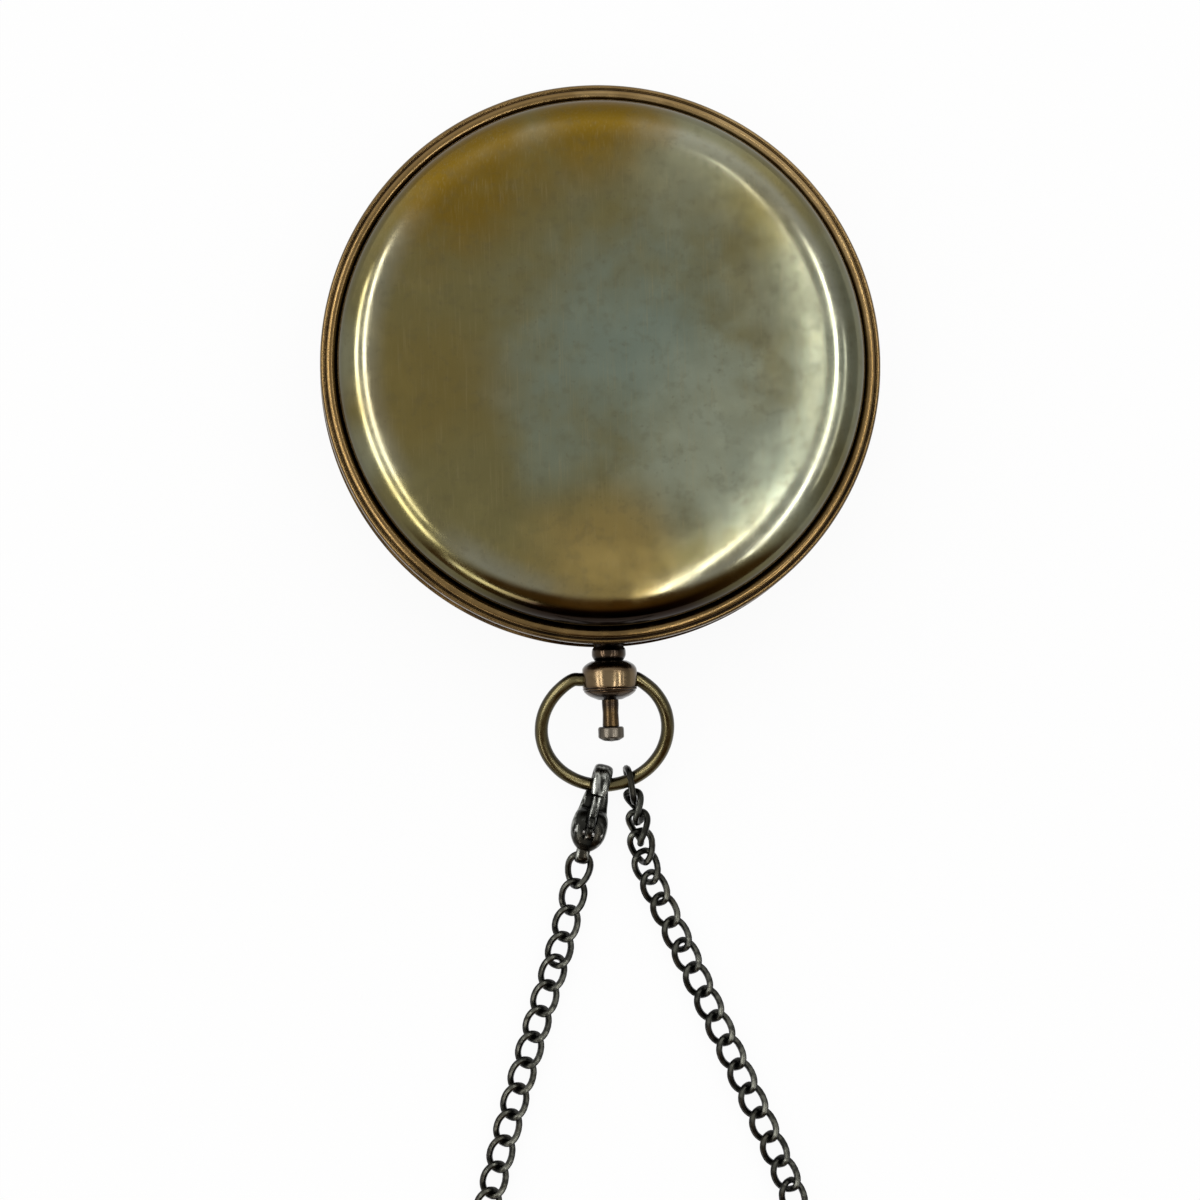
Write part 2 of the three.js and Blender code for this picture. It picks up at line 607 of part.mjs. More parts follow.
class Coil extends THREE.Curve {
  getPoint(t, target = new THREE.Vector3()) {
    const a = 2 * Math.PI * COIL_TURNS * t;
    const r = CATCH_PIN + COIL_WIRE;
    return target.set(r * Math.cos(a), r * Math.sin(a), COIL_PITCH * COIL_TURNS * t);
  }
}
function drawn(path, radius, sides, steps) {
  const section = new THREE.Shape(circle(0, 0, radius, sides).map(([x, y]) => new THREE.Vector2(x, y)));
  return new THREE.ExtrudeGeometry(section, { steps, extrudePath: path });
}
const coil = solid(drawn(new Coil(), COIL_WIRE / 2, 5, 20));
add("catch_spring", coil.translate([...leverPivot, pinFoot + COIL_WIRE]), STEEL);

// Bow: a round ring sprung into the ball, hanging to one side and drooping to the table
const bowDrop = BOW_REACH - BOW_RADIUS;
const bowHalf = Math.asin(BOW_EAR / BOW_RADIUS);
const droop = Math.asin((PENDANT_Z - BOW_REST) / BOW_REACH);
const earY = 0.3 * (BOW_RADIUS * Math.cos(bowHalf) - bowDrop);
const ear = (side) => new THREE.Vector3(0.85 * side * BOW_EAR + 0.5 * BOW_SHIFT, earY, 0);
const bowPath = [new THREE.Vector3(-BOW_TRUNNION, 0, 0), ear(-1)];
for (let i = 0; i <= 14; i += 1) {
  const a = Math.PI / 2 + bowHalf + ((2 * Math.PI - 2 * bowHalf) * i) / 14;
  const place = new THREE.Vector3(Math.cos(a), Math.sin(a), 0).multiplyScalar(BOW_RADIUS);
  bowPath.push(place.add(new THREE.Vector3(BOW_SHIFT, -bowDrop, 0)));
}
bowPath.push(ear(1), new THREE.Vector3(BOW_TRUNNION, 0, 0));
const bow = drawn(new THREE.CatmullRomCurve3(bowPath), BOW_WIRE / 2, 8, 44);
add("bow", solid(bow.rotateX(droop).translate(0, BOW_Y, PENDANT_Z)), BRASS);

// The bow's centreline at a given x, where a link or hook hangs on it
function onBow(x) {
  const reach = bowDrop + Math.sqrt(BOW_RADIUS * BOW_RADIUS - (x - BOW_SHIFT) ** 2);
  return new THREE.Vector3(x, BOW_Y - reach * Math.cos(droop), PENDANT_Z - reach * Math.sin(droop));
}

// A chain link: an oval of wire whose ends are twisted opposite ways
class Link extends THREE.Curve {
  constructor(length, twist) {
    super();
    this.half = length / 2;
    this.twist = twist;
  }

  getPoint(t, target = new THREE.Vector3()) {
    const a = 2 * Math.PI * t;
    const across = ((LINK_WIDTH - LINK_WIRE) / 2) * Math.sin(a);
    const turn = this.twist * Math.cos(a);
    return target.set(this.half * Math.cos(a), across * Math.cos(turn), across * Math.sin(turn));
  }
}

// A link set at a place, along a direction and rolled about it
function hung(link, place, along, roll) {
  const side = new THREE.Vector3().crossVectors(UP, along).normalize();
  const over = new THREE.Vector3().crossVectors(along, side);
  const pose = new THREE.Matrix4().makeBasis(along, side, over);
  pose.multiply(new THREE.Matrix4().makeRotationX(roll)).setPosition(place);
  return solid(link.clone().applyMatrix4(pose));
}

const linkLength = LINK_PITCH + LINK_WIRE - LINK_BITE;
const curb = new Link(linkLength, LINK_TWIST);
const shown = new THREE.TubeGeometry(curb, 10, LINK_WIRE / 2, 4, true);
const stowed = new THREE.TubeGeometry(curb, 6, LINK_WIRE / 2, 3, true);
const slack = (LINK_BITE + LINK_PLAY) / 2;

// Links joined in one run, with any pocket closed in between two of them filled:
// start is where the run before ends, as a length along the route
function run(route, link, start, count, pitch, first) {
  const length = route.getLength();
  let body = null;
  for (let k = 0; k < count; k += 1) {
    const s = start + (k + 0.5) * pitch - slack * (1 - (2 * k) / Math.max(1, count - 1));
    const roll = LINK_TWIST * Math.max(0, 1 - (first + k) / 3);
    const one = hung(link, route.getPointAt(s / length), route.getTangentAt(s / length), roll);
    body = body ? body.add(one) : one;
  }
  const pieces = body.simplify(LINK_TOLERANCE).decompose();
  return pieces.reduce((a, b) => (a.volume() > b.volume() ? a : b));
}

// A smooth route through points of [x, y, height], counted in plan from its start
function routeFrom(start, points) {
  const places = points.map(([x, y, z]) => new THREE.Vector3(start.x + x, start.y + y, z));
  const route = new THREE.CatmullRomCurve3(places);
  route.arcLengthDivisions = 600;
  return route;
}

// Clasp: it stands on edge round the bow; u runs from its hook to its eye, v is up
const claspAlong = new THREE.Vector3(-Math.sin(CLASP_YAW), -Math.cos(CLASP_YAW), 0);
const hookWire = onBow(CLASP_OFFSET);
const hookU = 1.75;
const claspStart = hookWire.clone().addScaledVector(claspAlong, -hookU).setZ(0);
const claspPose = new THREE.Matrix4().makeBasis(
  claspAlong, UP, new THREE.Vector3().crossVectors(claspAlong, UP),
).setPosition(claspStart);
function smooth(points, count) {
  const curve = new THREE.SplineCurve(points.map(([u, v]) => new THREE.Vector2(u, v)));
  return curve.getPoints(count).map((p) => [p.x, p.y]);
}
const hookTop = hookWire.z + BOW_WIRE / 2 + REST_GAP;
const hookFoot = hookWire.z - BOW_WIRE / 2 - REST_GAP;
const hookOut = smooth([
  [2.75, hookTop + 0.75], [1.6, hookTop + 0.8], [0.35, hookTop + 0.1], [-0.15, hookWire.z],
  [0.3, 0.55], [1.4, 0.08], [4.5, 0.05], [7.4, 0.12], [8.6, CLASP_EYE_HEIGHT - 0.92 * EYE_RADIUS],
], 16);
const hookBack = [[CLASP_EYE - 0.5, CLASP_EYE_HEIGHT + 0.8], [7.9, 3.05], [6.1, 3.1]];
const hookIn = smooth([
  [5.75, 2.2], [5.55, 1.2], [4.8, hookFoot + 0.02], [1.8, hookFoot - 0.02],
  [0.75, hookFoot + 0.35], [0.6, hookWire.z], [0.85, hookTop - 0.25], [1.7, hookTop],
], 12);
const claspOutline = [...hookOut, ...hookBack, ...hookIn, [2.75, hookTop]];
const claspSide = plate(claspOutline, 4);
const eyeDisc = plate(circle(CLASP_EYE, CLASP_EYE_HEIGHT, EYE_RADIUS, 16), 2.8);
const eyeHole = plate(circle(CLASP_EYE, CLASP_EYE_HEIGHT, EYE_HOLE, 14), 4);
const planHalf = [
  [-0.4, 0.68], [0.6, 0.84], [2.4, 0.9], [4.5, 1.36], [5.9, 1.68], [7, 1.64], [8.1, 1.2], [8.6, 0.34], [10.2, 0.34],
];
const planOutline = [...planHalf, ...planHalf.map(([u, w]) => [u, -w]).reverse()];
const claspPlan = plate(planOutline, 12).rotateX(Math.PI / 2);
const claspPin = circle(GATE_PIVOT, GATE_PIVOT_HEIGHT, GATE_PIN, 10);
const pinHole = plate(circle(GATE_PIVOT, GATE_PIVOT_HEIGHT, GATE_PIN + FIT, 10), 4);
const slotHalf = GATE_THICK / 2 + PLAY;
let clasp = solid(claspSide).add(solid(eyeDisc)).intersect(solid(claspPlan));
clasp = clasp.subtract(solid(eyeHole)).subtract(solid(pinHole));
clasp = clasp.subtract(block(5.2, 8.2, 1.35, 4, -slotHalf, slotHalf));
const posed = (body) => body.transform(claspPose.elements);
add("clasp_body", posed(clasp), GUNMETAL);
add("clasp_pin", posed(solid(plate(claspPin, 2.9))), STEEL);
const gateTip = 2.75 + REST_GAP;
const gateOutline = [
  [gateTip, hookTop], [5.2, hookTop - 0.05], [5.9, 1.75], [7.2, 1.75], [7.5, 2.6], [7.1, 3.1],
  [6.3, 3.2], [6.05, 4.15], [5.2, 4.2], [5.1, 3.3], [4.2, hookTop + 0.8], [gateTip, hookTop + 0.72],
];
const gateHole = circle(GATE_PIVOT, GATE_PIVOT_HEIGHT, GATE_PIN + FIT, 10).reverse();
add("clasp_lever", posed(solid(plate(gateOutline, GATE_THICK, [gateHole]))), GUNMETAL);

// Chain: two runs from the clasp and from the bow, joined by a loop folded away below
const leftStart = claspStart.clone().addScaledVector(claspAlong, CLASP_EYE + 0.48);
const left = routeFrom(leftStart, [
  [0, 0, CLASP_EYE_HEIGHT], [-0.35, -1.24, 1.27], [-0.95, -3.74, 1.13], [-1.65, -6.34, 0.96],
  [-2.4, -8.94, CHAIN_LIE], [-4.89, -16.38, CHAIN_LIE], [-7.9, -25.74, CHAIN_LIE],
  [-10.8, -35.64, CHAIN_LIE], [-13.9, -45.54, CHAIN_LIE],
]);
const endWire = onBow(2.05);
const endAlong = new THREE.Vector3(0.2, -0.96, -0.15).normalize();
const endGap = BOW_WIRE / 2 + LINK_WIRE / 2 + LINK_PLAY;
const endPlace = endWire.clone().addScaledVector(endAlong, END_LINK / 2 - endGap);
const plain = new THREE.TubeGeometry(new Link(END_LINK, 0), 12, LINK_WIRE / 2, 5, true);
add("chain_end_link", hung(plain, endPlace, endAlong, Math.PI / 2), GUNMETAL);
const tipGap = (LINK_WIRE + LINK_PLAY) / 2;
const rightStart = endWire.clone().addScaledVector(endAlong, END_LINK - endGap - tipGap);
const right = routeFrom(rightStart, [
  [0, 0, rightStart.z], [0.32, -1.58, 1.27], [0.62, -4.38, 1.1], [1.17, -7.28, 0.9],
  [2.27, -10.18, CHAIN_LIE], [4.31, -14.88, CHAIN_LIE], [8.5, -24.68, CHAIN_LIE],
  [12.79, -34.98, CHAIN_LIE], [15.77, -42.38, CHAIN_LIE], [19.57, -51.88, CHAIN_LIE],
]);
const leftFold = NEAR_LEFT * LINK_PITCH;
const rightFold = NEAR_RIGHT * LINK_PITCH;
const middleLength = MIDDLE_LINKS * LINK_PITCH;
add("chain_left_near", run(left, shown, 0, NEAR_LEFT, LINK_PITCH, 0), GUNMETAL);
add("chain_right_near", run(right, shown, 0, NEAR_RIGHT, LINK_PITCH, 0), GUNMETAL);
add("chain_left_middle", run(left, shown, leftFold, MIDDLE_LINKS, LINK_PITCH, NEAR_LEFT), GUNMETAL);
add("chain_right_middle", run(right, shown, rightFold, MIDDLE_LINKS, LINK_PITCH, NEAR_RIGHT), GUNMETAL);
const pointAt = (route, s) => route.getPointAt(s / route.getLength());
const nearFold = [pointAt(left, leftFold), pointAt(right, rightFold)];
const farFold = [pointAt(left, leftFold + middleLength), pointAt(right, rightFold + middleLength)];
const foldMiddle = farFold[0].clone().lerp(farFold[1], 0.5);
const loopFoot = -LOOP_DROP - LOOP_HEIGHT;
const loopWay = [farFold[0].clone().sub(foldMiddle).setZ(CHAIN_LIE).toArray()];
const turns = [[-1, loopFoot, -1], [0, -LOOP_DROP, 1], [1, loopFoot, -1]];
for (const [column, y, sign] of turns) {
  for (let i = 0; i <= 4; i += 1) {
    const a = (Math.PI * i) / 4;
    const x = LOOP_COLUMN * (column - 0.5 * Math.cos(a));
    loopWay.push([x, y + 0.5 * sign * LOOP_COLUMN * Math.sin(a), CHAIN_LIE]);
  }
}
loopWay.push(farFold[1].clone().sub(foldMiddle).setZ(CHAIN_LIE).toArray());
const loop = routeFrom(foldMiddle, loopWay);
const loopPitch = loop.getLength() / LOOP_LINKS;
add("chain_loop", run(loop, stowed, 0, LOOP_LINKS, loopPitch, NEAR_LEFT), GUNMETAL);

// Where the joints turn, for whoever rigs the part
group.userData.pivots = {
  lid: [0, HINGE_Y, HINGE_Z],
  gnomon: [0, 0, gnomonZ],
  button: [0, -stemOut, PENDANT_Z],
  catch: [...leverPivot, liftFoot],
  bow: [0, BOW_Y, PENDANT_Z],
  needle: [0, 0, pivotTip],
  clasp: [hookWire.toArray(), endWire.toArray()],
  gate: new THREE.Vector3(GATE_PIVOT, GATE_PIVOT_HEIGHT, 0).applyMatrix4(claspPose).toArray(),
  gateAxis: new THREE.Vector3().setFromMatrixColumn(claspPose, 2).toArray(),
  nearFold: nearFold.map((p) => p.toArray()),
  farFold: farFold.map((p) => p.toArray()),
};

export default group;
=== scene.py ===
# %% [markdown]
# # A pocket sundial compass, dressed over its CAD frame
# The object is a round brass case that lies on its back with the lid shut. A pendant with a
# push button carries a loose ring, and a dark chain is clasped to that ring. The CAD frame
# already has every piece in its place and every joint. This lesson gives each piece its fine
# shape and its finish. Almost everything here was turned on a lathe or bent from wire, so two
# ideas make most of the shapes: a profile carried round an axis, and a section carried along
# a path. Both are plain numpy arrays, worked out whole.

# %% Load the frame
import json
import math

import bpy
import numpy as np
from mathutils import Matrix, Vector


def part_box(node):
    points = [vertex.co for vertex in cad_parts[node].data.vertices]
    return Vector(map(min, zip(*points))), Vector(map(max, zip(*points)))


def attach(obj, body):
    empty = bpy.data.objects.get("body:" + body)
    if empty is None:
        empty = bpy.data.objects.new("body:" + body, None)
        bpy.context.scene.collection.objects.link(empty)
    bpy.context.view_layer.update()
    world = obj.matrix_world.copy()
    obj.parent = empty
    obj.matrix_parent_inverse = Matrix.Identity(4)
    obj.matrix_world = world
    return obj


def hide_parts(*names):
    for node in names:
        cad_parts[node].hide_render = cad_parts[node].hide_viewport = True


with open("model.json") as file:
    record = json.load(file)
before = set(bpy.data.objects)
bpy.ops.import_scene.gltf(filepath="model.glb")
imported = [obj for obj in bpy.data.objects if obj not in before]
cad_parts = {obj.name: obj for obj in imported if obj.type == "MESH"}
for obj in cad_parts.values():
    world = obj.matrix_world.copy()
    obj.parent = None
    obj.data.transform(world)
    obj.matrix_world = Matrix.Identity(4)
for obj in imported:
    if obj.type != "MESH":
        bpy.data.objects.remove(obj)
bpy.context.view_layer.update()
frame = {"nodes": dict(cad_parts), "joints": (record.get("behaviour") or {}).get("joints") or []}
MM = 0.001


def span(node):
    """Lowest and highest corner of a CAD node at rest, in millimetres."""
    low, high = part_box(node)
    return np.array(low) / MM, np.array(high) / MM


def added(name, data):
    """A new object in the scene that holds a mesh, a lamp or a camera."""
    made = bpy.data.objects.new(name, data)
    bpy.context.scene.collection.objects.link(made)
    return made


# %% [markdown]
# ## The camera
# The photograph looks almost straight down, from a little below the pendant, so the front of
# the case shows a sliver of its side. A camera could be aimed by eye, but a matrix built from
# where it stands, what it looks at and a small roll is exact and easy to change. The focal
# length is kept as pixels of a 1200 pixel picture, because that is how it was measured.

# %% Set up the camera
PICTURE = 1200
FOCAL = 2523.9
EYE = Vector((-16.0, -32.78, 260.0)) * MM
AIM = Vector((-0.61, -23.39, 5.0)) * MM
ROLL = -0.0301


def aimed(eye, aim, roll=0.0):
    """A matrix at eye whose -Z axis points at aim, with +Y as up before the roll."""
    forward = (aim - eye).normalized()
    right = forward.cross(Vector((0, 1, 0))).normalized()
    up = right.cross(forward)
    across = math.cos(roll) * right + math.sin(roll) * up
    upright = math.cos(roll) * up - math.sin(roll) * right
    turn = Matrix((across, upright, -forward)).transposed().to_4x4()
    return Matrix.Translation(eye) @ turn


camera = added("camera", bpy.data.cameras.new("camera"))
camera.data.sensor_width = 36
camera.data.lens = FOCAL / PICTURE * camera.data.sensor_width
camera.data.clip_start = 0.01
camera.matrix_world = aimed(EYE, AIM, ROLL)
bpy.context.scene.camera = camera
bpy.context.scene.view_settings.view_transform = "Standard"
print("lens in mm:", round(camera.data.lens, 2))

# %% [markdown]
# ## The studio
# Polished metal has no look of its own: it shows the room. So the room is made first. The lid
# of the photograph mirrors a light room with long lamps over the table, all lying much the
# same way: two to the left, four to the right, and a low one in front. They draw the white
# lines along the lid's shoulder, the pendant and the ring. The room itself is the world:
# brightest at the back, a little dimmer on the right, and dark low in front, on the camera's
# side. The lamps are seen by the metal but don't light the floor, so the level stays plain
# and the shadow soft.

# %% Light the room
def tube(name, start, end, width, radiance):
    """A long lamp from start to end (in metres) that faces the case. Its power is radiance times pi
    times its area."""
    start, end = Vector(start), Vector(end)
    middle, along = (start + end) / 2, (end - start).normalized()
    away = (middle - middle.dot(along) * along).normalized()
    data = bpy.data.lights.new(name, "AREA")
    data.shape = "RECTANGLE"
    data.size, data.size_y = width, (end - start).length
    data.energy = radiance * math.pi * data.size * data.size_y
    lamp = added(name, data)
    turn = Matrix((along.cross(away), along, away)).transposed().to_4x4()
    lamp.matrix_world = Matrix.Translation(middle) @ turn
    lamp.visible_camera = False
    lamp.visible_diffuse = False


tube("tube_far_left", (-1.4, 0.8, 0.9), (-1.0, -0.9, 0.9), 0.17, 12.5)
tube("tube_left", (-0.84, 0.7, 0.9), (-0.625, -0.44, 0.9), 0.085, 14.0)
tube("tube_right_back", (0.32, 0.54, 0.9), (0.33, 0.0, 0.9), 0.045, 8.5)
tube("tube_right_front", (0.28, -0.06, 0.9), (0.23, -0.72, 0.9), 0.07, 15.5)
tube("tube_far_right", (0.72, 0.5, 0.9), (0.7, -0.73, 0.9), 0.08, 15.0)
tube("tube_faint_right", (1.22, 0.3, 0.9), (1.3, -0.54, 0.9), 0.1, 3.5)
tube("tube_front", (-0.72, -0.86, 0.45), (-0.3, -1.06, 0.45), 0.16, 7.0)

# The room by the Y of the direction: (Y, colour). The floor and table in front look brown.
ROOM = [
    (-0.97, (0.008, 0.004, 0.003)),
    (-0.88, (0.2, 0.1, 0.03)),
    (-0.67, (0.2, 0.11, 0.04)),
    (-0.55, (1, 1, 1)),
    (0.35, (1, 1, 1)),
    (0.75, (1.8, 1.8, 1.8)),
]
# The dimmer right wall: the X of the direction where it begins and is whole, the strength at each
RIGHT_WALL = (0.65, 0.9, 1, 0.5)
world = bpy.data.worlds.new("room")
bpy.context.scene.world = world
world.use_nodes = True
room = world.node_tree
direction = room.nodes.new("ShaderNodeTexCoord").outputs["Generated"]
split = room.nodes.new("ShaderNodeSeparateXYZ")
room.links.new(direction, split.inputs[0])
depth, breadth = (room.nodes.new("ShaderNodeMapRange") for _ in range(2))
for made, axis, limits in ((depth, "Y", (-1, 1, 0, 1)), (breadth, "X", RIGHT_WALL)):
    room.links.new(split.outputs[axis], made.inputs["Value"])
    for name, value in zip(("From Min", "From Max", "To Min", "To Max"), limits):
        made.inputs[name].default_value = value
walls = room.nodes.new("ShaderNodeValToRGB")
walls.color_ramp.elements.remove(walls.color_ramp.elements[0])
for y, colour in ROOM:
    walls.color_ramp.elements.new((y + 1) / 2).color = (*colour, 1)
room.links.new(depth.outputs["Result"], walls.inputs["Fac"])
room.links.new(walls.outputs["Color"], room.nodes["Background"].inputs["Color"])
room.links.new(breadth.outputs["Result"], room.nodes["Background"].inputs["Strength"])

# %% [markdown]
# ## A finish as a small recipe
# Each finish is one Principled shader with a few nodes in front of it. The same steps come
# back in every recipe: cloudy noise of a given size, a soft threshold, a mix of two colours,
# a spot round a place. Writing them as short methods keeps a recipe readable. All of them
# read Object coordinates, so the pattern sticks to the piece when it moves, and the "wear"
# value that the meshes carry: 1 where hands have rubbed the piece bright, 0 in the hollows.
# On the lid, the rim, the pendant and the wire pieces it also carries painted light and shade.

# %% Write the recipe helper
class Finish:
    """One procedural finish: a Principled shader and short names for the nodes that feed it."""

    def __init__(self, name, metallic, roughness, **sockets):
        self.material = bpy.data.materials.new(name)
        self.material.use_nodes = True
        self.tree = self.material.node_tree
        self.shader = self.tree.nodes["Principled BSDF"]
        self.set(Metallic=metallic, Roughness=roughness, **sockets)
        self.place = self.tree.nodes.new("ShaderNodeTexCoord").outputs["Object"]

    def put(self, socket, value):
        """Links a node's output to a socket, or writes a constant on it."""
        if isinstance(value, bpy.types.NodeSocket):
            self.tree.links.new(value, socket)
        else:
            socket.default_value = (*value, 1) if socket.type == "RGBA" else value

    def set(self, **sockets):
        """Sets the shader's sockets by name, with _ for a space."""
        for name, value in sockets.items():
            self.put(self.shader.inputs[name.replace("_", " ")], value)

    def node(self, kind, *values, output=0, **settings):
        """A node with its settings, its first inputs filled in order, and one of its outputs."""
        made = self.tree.nodes.new("ShaderNode" + kind)
        for name, value in settings.items():
            setattr(made, name, value)
        for socket, value in zip(made.inputs, values):
            if value is not None:
                self.put(socket, value)
        return made.outputs[output]

    def wear(self):
        """The wear that the mesh carries."""
        return self.node("Attribute", attribute_name="wear", output="Fac")

    def noise(self, size, stretch=(1, 1, 1), detail=3.0):
        """Cloudy noise from 0 to 1 whose clouds are about `size` millimetres, drawn out by stretch."""
        place = self.place
        if stretch != (1, 1, 1):
            squeeze = tuple(1 / s for s in stretch)
            place = self.node("VectorMath", place, squeeze, operation="MULTIPLY")
        return self.node("TexNoise", place, None, 1 / (size * MM), detail, output="Fac")

    def ramp(self, value, low, high, start=0.0, end=1.0):
        """start below low, end above high, and a smooth step between."""
        return self.node("MapRange", value, low, high, start, end, interpolation_type="SMOOTHSTEP")

    def sum(self, a, b, operation="ADD"):
        """a + b, or another operation on the two."""
        return self.node("Math", a, b, operation=operation)

    def mix(self, share, a, b):
        """Colour a where share is 0, colour b where it is 1."""
        made = self.tree.nodes.new("ShaderNodeMix")
        made.data_type = "RGBA"
        for index, value in ((0, share), (6, a), (7, b)):
            self.put(made.inputs[index], value)
        return made.outputs[2]

    def away(self, x, y):
        """The distance on the plan from a place given in mm, whatever the height."""
        flat = self.node("VectorMath", self.place, (1, 1, 0), operation="MULTIPLY")
        return self.node("VectorMath", flat, (x * MM, y * MM, 0), operation="DISTANCE", output="Value")

    def ring(self, x, y, low, high, start=0.0, end=1.0):
        """start nearer to a place on the plan than low mm, end farther from it than high mm."""
        return self.ramp(self.away(x, y), low * MM, high * MM, start, end)

    def spot(self, x, y, radius):
        """1 at a place on the plan (in mm), falling smoothly to 0 at radius."""
        return self.ring(x, y, 0.0, radius, 1.0, 0.0)

    def cloudy(self, a, b, size, low, high, share=1.0, detail=3.0):
        """Colour a that turns to b, by a share, where noise of a given size goes from low to high."""
        return self.mix(self.ramp(self.noise(size, detail=detail), low, high, 0.0, share), a, b)

    def bump(self, height, depth):
        """Raises the skin by `depth` millimetres where height is 1."""
        made = self.tree.nodes.new("ShaderNodeBump")
        made.inputs["Strength"].default_value = 1.0
        made.inputs["Distance"].default_value = depth * MM
        self.put(made.inputs["Height"], height)
        self.put(self.shader.inputs["Normal"], made.outputs["Normal"])


print("recipe steps:", [n for n in vars(Finish) if not n.startswith("_")])

# %% [markdown]
# ## The floor
# A plain pale sheet under the object. The picture's ground is white with
# hardly a shadow, so part of what the camera, a mirror or a glass sees of the sheet is plain
# white, and the rest is the lit paper, which keeps a faint shadow.

# %% Lay the floor
WHITENESS = 0.93
paper_white = Finish("pale_floor", 0.0, 0.9, Base_Color=(0.93, 0.93, 0.93), Specular_IOR_Level=0.0)
looks = paper_white.tree.nodes.new("ShaderNodeLightPath").outputs
seen = paper_white.sum(looks["Is Camera Ray"], looks["Is Glossy Ray"], "MAXIMUM")
seen = paper_white.sum(seen, looks["Is Transmission Ray"], "MAXIMUM")
glow = paper_white.node("Emission", (1, 1, 1), 1.0)
whitened = paper_white.sum(seen, WHITENESS, "MULTIPLY")
sheet = paper_white.node("MixShader", whitened, paper_white.shader.outputs[0], glow)
paper_white.put(paper_white.tree.nodes["Material Output"].inputs["Surface"], sheet)
FLOOR_HALF = 6.0
FLOOR_DROP = 0.00005
floor_mesh = bpy.data.meshes.new("floor")
floor_corners = np.array([[-1, -1], [1, -1], [1, 1], [-1, 1]]) * FLOOR_HALF
floor_points = np.column_stack([floor_corners, np.full(4, -FLOOR_DROP)])
floor_mesh.from_pydata(floor_points.tolist(), [], [(0, 1, 2, 3)])
floor_mesh.materials.append(paper_white.material)
floor = added("floor", floor_mesh)
print("floor laid at", -FLOOR_DROP / MM, "mm")

# %% [markdown]
# ## From arrays to a piece
# A surface is a grid of points: rows one way, columns the other, each point holding x, y, z
# in millimetres and its wear. Four neighbours make a quad. Where the grid meets itself, at a
# seam or a pole, points coincide, so they are welded into one and the squeezed quads become
# triangles. That closes every shell without special cases. The sign of the shell's volume
# tells whether its faces point outwards, and a shell that is inside out has its quads turned.

# %% Write the mesh helpers
WELD = 1.37e-7


def weave(rows, columns):
    """The corners of the quads of a grid, as point numbers counted row by row."""
    first = (np.arange(rows - 1)[:, None] * columns + np.arange(columns - 1)).reshape(-1, 1)
    return first + np.array([0, 1, columns + 1, columns])


def facing_out(points, quads):
    """The quads, turned if the volume under them (the sum of p . (q x r) / 6) is negative."""
    a, b, c, d = (points[quads[:, k], :3] for k in range(4))
    volume = np.sum(a * np.cross(b, c)) + np.sum(a * np.cross(c, d))
    return quads if volume > 0 else quads[:, ::-1]


def weld(points, quads):
    """Points that coincide become one, and a quad with two equal corners becomes a triangle."""
    cells = np.round(points[:, :3] * MM / WELD).astype(np.int64)
    _, first, index = np.unique(cells, axis=0, return_index=True, return_inverse=True)
    corners = index.reshape(-1)[quads]
    same = corners == np.roll(corners, -1, axis=1)
    whole = corners[same.sum(1) == 0]
    pinched = same.sum(1) == 1
    triangles = corners[pinched][~same[pinched]].reshape(-1, 3)
    return points[first], whole.tolist() + triangles.tolist()


def piece(name, grids, finish, body, *nodes, slot=None, crease=35):
    """A mesh of one or more grids of (x, y, z, wear) that rides on a body and stands for CAD nodes."""
    points, quads, count = [], [], 0
    for grid in grids:
        batch = grid.reshape(-1, *grid.shape[-3:])
        shells, rows, columns, _ = batch.shape
        starts = rows * columns * np.arange(shells)
        corners = (weave(rows, columns)[None] + starts[:, None, None]).reshape(-1, 4)
        flat = batch.reshape(-1, 4)
        quads.append(facing_out(flat, corners) + count)
        points.append(flat)
        count += len(flat)
    places, faces = weld(np.concatenate(points), np.concatenate(quads))
    mesh = bpy.data.meshes.new(name)
    mesh.from_pydata((places[:, :3] * MM).tolist(), [], faces)
    rubbed = mesh.attributes.new("wear", "FLOAT", "POINT")
    rubbed.data.foreach_set("value", places[:, 3].astype(np.float32))
    mesh.shade_smooth()
    mesh.set_sharp_from_angle(angle=math.radians(crease))
    mesh.materials.append(finish.material)
    made = added(name, mesh)
    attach(made, body)
    if nodes:
        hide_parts(*nodes)
    print(f"{name}: {len(places)} points, {len(faces)} faces")
    return made


def unit(vectors):
    """Vectors scaled to length 1."""
    return vectors / np.linalg.norm(vectors, axis=-1, keepdims=True)


# %% [markdown]
# ## Turning on a lathe
# A turned piece is a profile of (radius, height) carried round an axis. Real edges are never
# sharp, so each corner of the profile is eased: a parabola that leaves one side a little
# before the corner and joins the other a little after it. The corner's wear rides along, so
# a crest can be marked as rubbed and a groove as dark.

# %% Write the lathe
EASE = 0.12


def eased(corners, radius=EASE, steps=5):
    """An outline whose corners (r, h, wear) are rounded: p = (1-s)^2 a + 2 s (1-s) corner + s^2 b,
    where a and b lie `radius` from the corner on its two sides, or 0.45 of a shorter side."""
    corners = np.asarray(corners, float)
    before, after = (np.roll(corners, k, axis=0) - corners for k in (1, -1))
    before[0], after[-1] = 0.0, 0.0
    reach = [np.linalg.norm(d[:, :2], axis=1, keepdims=True) for d in (before, after)]
    cut = np.minimum(radius, 0.45 * np.minimum(*reach))
    a, b = (corners + d * cut / np.maximum(n, 1e-9) for d, n in zip((before, after), reach))
    s = np.linspace(0, 1, steps)[None, :, None]
    curve = (1 - s) ** 2 * a[:, None] + 2 * s * (1 - s) * corners[:, None] + s**2 * b[:, None]
    return curve.reshape(-1, corners.shape[1])


def closed(corners):
    """An outline that comes back to its start, begun half-way along a side so that no corner is lost."""
    corners = np.asarray(corners, float)
    middle = (corners[:1] + corners[-1:]) / 2
    return np.concatenate([middle, corners, middle])


